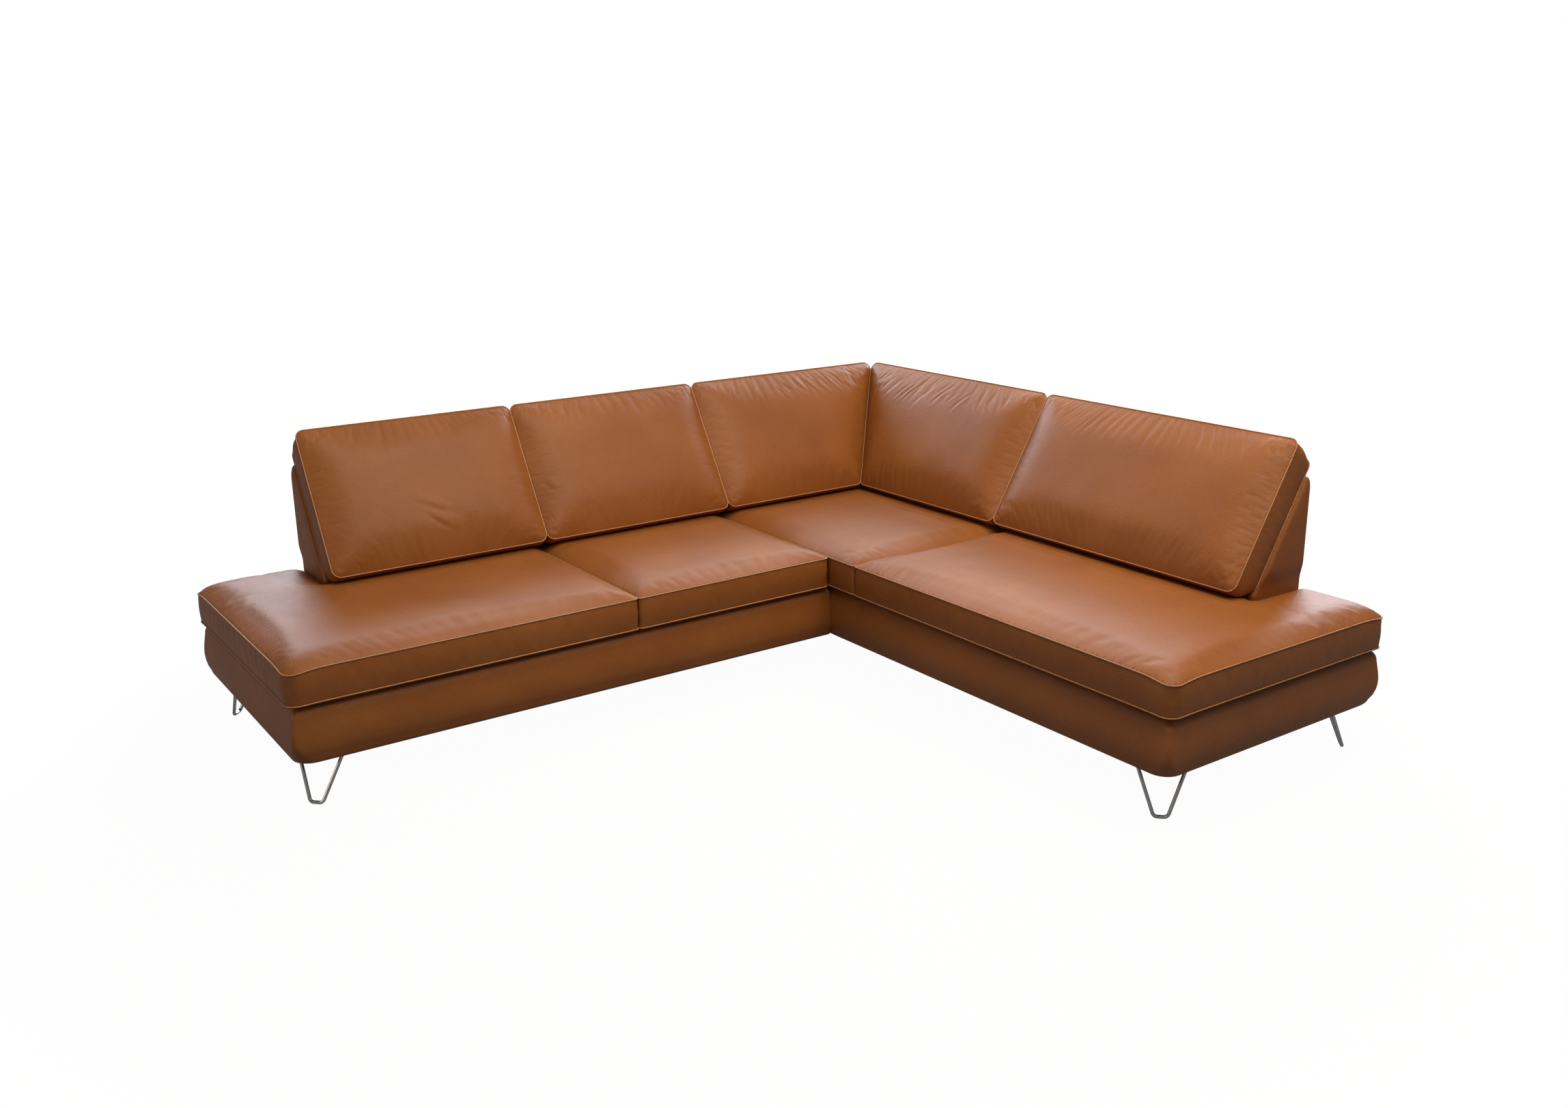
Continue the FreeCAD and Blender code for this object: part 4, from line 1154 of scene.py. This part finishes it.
class Nodes:
    """Short calls to make and link the nodes of a material or of the room."""

    def __init__(self, owner):
        owner.use_nodes = True
        self.owner = owner
        self.tree = owner.node_tree

    def fill(self, node, inputs):
        """Sets a node's inputs, each to a plain value or to another node's socket."""
        for name, given in inputs.items():
            if isinstance(given, bpy.types.NodeSocket):
                self.tree.links.new(given, node.inputs[name])
            else:
                node.inputs[name].default_value = given

    def add(self, kind, inputs, **values):
        node = self.tree.nodes.new(kind)
        for name, given in values.items():
            setattr(node, name, given)
        self.fill(node, inputs)
        return node

    def finish(self, inputs):
        """The material, with its own shader's inputs set."""
        self.fill(self.tree.nodes["Principled BSDF"], inputs)
        return self.owner

    def place(self):
        """The object's own coordinates in metres."""
        return self.add("ShaderNodeTexCoord", {}).outputs["Object"]

    def seen(self):
        """1 where the camera looks, straight or through glass, and the other kinds of rays."""
        rays = self.add("ShaderNodeLightPath", {}).outputs
        return self.math("MAXIMUM", rays["Is Camera Ray"], rays["Is Transmission Ray"]), rays

    def noise(self, vector, scale, detail, rough):
        return self.add("ShaderNodeTexNoise", {
            "Vector": vector, "Scale": scale, "Detail": detail, "Roughness": rough,
        }).outputs["Fac"]

    def cells(self, vector, scale):
        node = self.add("ShaderNodeTexVoronoi", {"Vector": vector, "Scale": scale})
        return node.outputs["Distance"]

    def ramp(self, source, dark, light):
        node = self.add("ShaderNodeValToRGB", {"Fac": source})
        for element, stop, colour in zip(node.color_ramp.elements, CLOUD_STOPS, (dark, light)):
            element.position = stop
            element.color = (*colour, 1)
        return node.outputs["Color"]

    def mix(self, share, first, second):
        """The second colour over the first, as far as the share says."""
        inputs = {0: share, 6: first, 7: (*second, 1)}
        return self.add("ShaderNodeMix", inputs, data_type="RGBA").outputs[2]

    def math(self, operation, first, second):
        inputs = {0: first, 1: second}
        return self.add("ShaderNodeMath", inputs, operation=operation).outputs[0]

    def spread(self, source, low, high, **values):
        """A value laid out between two others."""
        inputs = {"Value": source, "To Min": low, "To Max": high}
        return self.add("ShaderNodeMapRange", inputs, **values)

    def bump(self, height, distance, strength):
        return self.add("ShaderNodeBump", {
            "Height": height, "Distance": distance, "Strength": strength,
        }).outputs["Normal"]


CLOUD_STOPS = (0.3, 0.7)
CLOUD_SCALE = 3.2
FINE_SCALE = 150
FINE_SHARE = 0.4
SATIN_SCALE = 24
SATIN = (0.36, 0.50)
SPECULAR = 0.46
PEBBLE_SCALE = 420
SOFT_SCALE = 180
GRAIN_DEPTH = 0.0006
GRAIN_STRENGTH = 0.7
PLAIN_SCALE = 30
PLAIN_LOW = 0.8
PLAIN_HIGH = 1.2
CHROME_SCALE = 60
CHROME_DARK = (0.55, 0.55, 0.56)
CHROME_LIGHT = (0.68, 0.68, 0.69)
CHROME_GLOSS = (0.06, 0.16)


def leather(name, light, dark, shade):
    """Tan leather: a cloudy dye, a fine pebble grain and a satin finish."""
    made = Nodes(bpy.data.materials.new(name))
    spot = made.place()
    cloud = made.noise(spot, CLOUD_SCALE, detail=5, rough=0.6)
    fine = made.noise(spot, FINE_SCALE, detail=3, rough=0.65)
    dull = made.noise(spot, SATIN_SCALE, detail=4, rough=0.6)
    soft = made.noise(spot, SOFT_SCALE, detail=4, rough=0.65)
    height = made.math("ADD", made.cells(spot, PEBBLE_SCALE), soft)
    base = made.ramp(cloud, dark, light)
    return made.finish({
        "Base Color": made.mix(made.spread(fine, 0, FINE_SHARE).outputs["Result"], base, shade),
        "Roughness": made.spread(dull, *SATIN).outputs["Result"],
        "Specular IOR Level": SPECULAR,
        "Normal": made.bump(height, GRAIN_DEPTH, GRAIN_STRENGTH),
    })


def plain(name, colour, roughness, metallic=0.0):
    """A finish with a little unevenness in its colour and its gloss."""
    made = Nodes(bpy.data.materials.new(name))
    cloud = made.noise(made.place(), PLAIN_SCALE, detail=4, rough=0.6)
    gloss = made.spread(cloud, roughness * PLAIN_LOW, roughness * PLAIN_HIGH)
    return made.finish({
        "Base Color": made.ramp(cloud, [channel * PLAIN_LOW for channel in colour], colour),
        "Roughness": gloss.outputs["Result"],
        "Metallic": metallic,
    })


def chrome():
    made = Nodes(bpy.data.materials.new("chrome"))
    cloud = made.noise(made.place(), CHROME_SCALE, detail=3, rough=0.5)
    return made.finish({
        "Base Color": made.ramp(cloud, CHROME_DARK, CHROME_LIGHT),
        "Roughness": made.spread(cloud, *CHROME_GLOSS).outputs["Result"],
        "Metallic": 1,
    })


# Floor and light

def stage_floor():
    """A pale floor, white to the camera and to metal, that keeps the sofa's faint shadow."""
    bpy.ops.mesh.primitive_plane_add(size=FLOOR_SIZE)
    floor = bpy.context.object
    floor.name = "floor"
    made = Nodes(bpy.data.materials.new("pale_floor"))
    material = made.finish({
        "Base Color": (*FLOOR_COLOUR, 1),
        "Roughness": FLOOR_ROUGHNESS,
        "Specular IOR Level": 0,
    })
    seen, rays = made.seen()
    seen = made.math("MAXIMUM", seen, made.math("MULTIPLY", rays["Is Glossy Ray"], FLOOR_GLOSS))
    away = made.add("ShaderNodeVectorMath", {0: made.place()}, operation="LENGTH")
    far = made.spread(
        away.outputs["Value"], FLOOR_SHARE, 1, interpolation_type="SMOOTHSTEP"
    )
    made.fill(far, {"From Min": FLOOR_NEAR, "From Max": FLOOR_FAR})
    white = made.add("ShaderNodeEmission", {"Strength": FLOOR_WHITE})
    blend = made.add("ShaderNodeMixShader", {
        0: made.math("MULTIPLY", seen, far.outputs["Result"]),
        1: made.tree.nodes["Principled BSDF"].outputs[0],
        2: white.outputs[0],
    })
    made.fill(made.tree.nodes["Material Output"], {"Surface": blend.outputs[0]})
    floor.data.materials.append(material)


def sky():
    """A dim even room for the object, and plain white for the camera and through glass."""
    scene.world = bpy.data.worlds.new("studio")
    made = Nodes(scene.world)
    seen, _ = made.seen()
    tint = made.mix(seen, (*ROOM_LIGHT, 1), (1, 1, 1))
    made.fill(made.tree.nodes["Background"], {"Color": tint})


def soft_light(name, spot, aim, size, power, colour, glossy):
    """A soft lamp that the camera doesn't see, and that may be left out of reflections."""
    lamp = bpy.data.lights.new(name, "AREA")
    lamp.shape = "RECTANGLE"
    lamp.size, lamp.size_y = size
    lamp.energy = power
    lamp.color = colour
    holder = bpy.data.objects.new(name, lamp)
    holder.location = spot
    away = Vector(spot) - Vector(aim)
    holder.rotation_mode = "QUATERNION"
    holder.rotation_quaternion = away.to_track_quat("Z", "Y")
    holder.visible_camera = False
    holder.visible_glossy = glossy
    scene.collection.objects.link(holder)


# Each lamp's name, place, aim, width and height, watts, colour, and whether it shows in gloss
LIGHTS = (
    ("overhead", (0.6, -1.3, 3.5), (0.2, 0.3, 0.4), (3.0, 3.0), 108, (1.0, 0.94, 0.84), False),
    ("sheen", (0.15, -0.95, 3.6), (0.3, 0.2, 0.4), (3.0, 3.0), 46, (1.0, 0.95, 0.88), True),
    ("behind", (3.5, 3.3, 3.4), (0.6, 0.0, 0.4), (4.0, 1.8), 85, (0.92, 0.96, 1.0), True),
    ("left_window", (0.7, 5.2, 2.7), (-0.8, 0.3, 0.4), (2.8, 2.2), 135, (0.76, 0.87, 1.0), True),
    ("right_window", (5.2, 2.2, 2.2), (1.0, -0.6, 0.4), (3.0, 2.4), 150, (0.80, 0.88, 1.0), True),
    ("left_fill", (-5.0, 0.8, 1.6), (-1.0, 0.6, 0.4), (2.4, 1.8), 24, (1.0, 0.88, 0.72), True),
)

# Leather colours: the light and dark of the dye, and the shade in its grain
HIDE_LIGHT = (0.335, 0.110, 0.0215)
HIDE_DARK = (0.255, 0.077, 0.0135)
HIDE_SHADE = (0.16, 0.045, 0.008)
# Welt colours, paler than the hide: a painted highlight along the raised seams, with some edge wear
WELT_WEAR_AND_HIGHLIGHT_LIGHT = (0.50, 0.25, 0.115)
WELT_WEAR_AND_HIGHLIGHT_DARK = (0.42, 0.19, 0.075)
WELT_WEAR_AND_HIGHLIGHT_SHADE = (0.30, 0.12, 0.04)


# The whole scene

scene.view_settings.view_transform = "Standard"
look_from_photo()
stage_floor()
sky()
for light in LIGHTS:
    soft_light(*light)
hide = leather("leather", HIDE_LIGHT, HIDE_DARK, HIDE_SHADE)
# The welts' paler leather paints a highlight along the seams, over some edge wear
welt_wear_and_highlight = leather("leather_welt_wear_and_highlight", WELT_WEAR_AND_HIGHLIGHT_LIGHT, WELT_WEAR_AND_HIGHLIGHT_DARK, WELT_WEAR_AND_HIGHLIGHT_SHADE)
leathers = (hide, welt_wear_and_highlight)
finishes = {
    "leather": hide,
    "chrome": chrome(),
    "zinc_steel": plain("zinc_steel", (0.55, 0.56, 0.58), 0.35, 1.0),
    "spring_steel": plain("spring_steel", (0.20, 0.20, 0.21), 0.4, 1.0),
    "softwood": plain("softwood", (0.62, 0.45, 0.27), 0.6),
    "plywood": plain("plywood", (0.58, 0.42, 0.25), 0.6),
    "foam": plain("foam", (0.80, 0.78, 0.66), 0.9),
    "lining": plain("lining", (0.05, 0.05, 0.05), 0.9),
    "webbing": plain("webbing", (0.10, 0.09, 0.08), 0.85),
    "felt": plain("felt", (0.25, 0.24, 0.23), 0.95),
    "black_plastic": plain("black_plastic", (0.02, 0.02, 0.02), 0.45),
}
for part in frame["record"]["subparts"]:
    shown = frame["nodes"][part["node"]]
    shown.data.materials.clear()
    shown.data.materials.append(finishes[part["material_slot"]])
for name in SEATS:
    seat_cushion(name, leathers)
back_cushion("end_back", "left", ("left",), None, leathers)
back_cushion("middle_back", "left", (), None, leathers)
back_cushion("corner_left_back", "left", (), "right", leathers)
back_cushion("corner_right_back", "right", (), "left", leathers)
back_cushion("chaise_back", "right", ("right",), None, leathers)
for side in ("left", "right"):
    base_cover(side, hide)
    deck_pad(side, finishes["felt"])
    dust_cover(side, finishes["lining"])
backrest("left", "left", False, hide)
backrest("corner", "left", True, hide)
backrest("right", "right", True, hide)
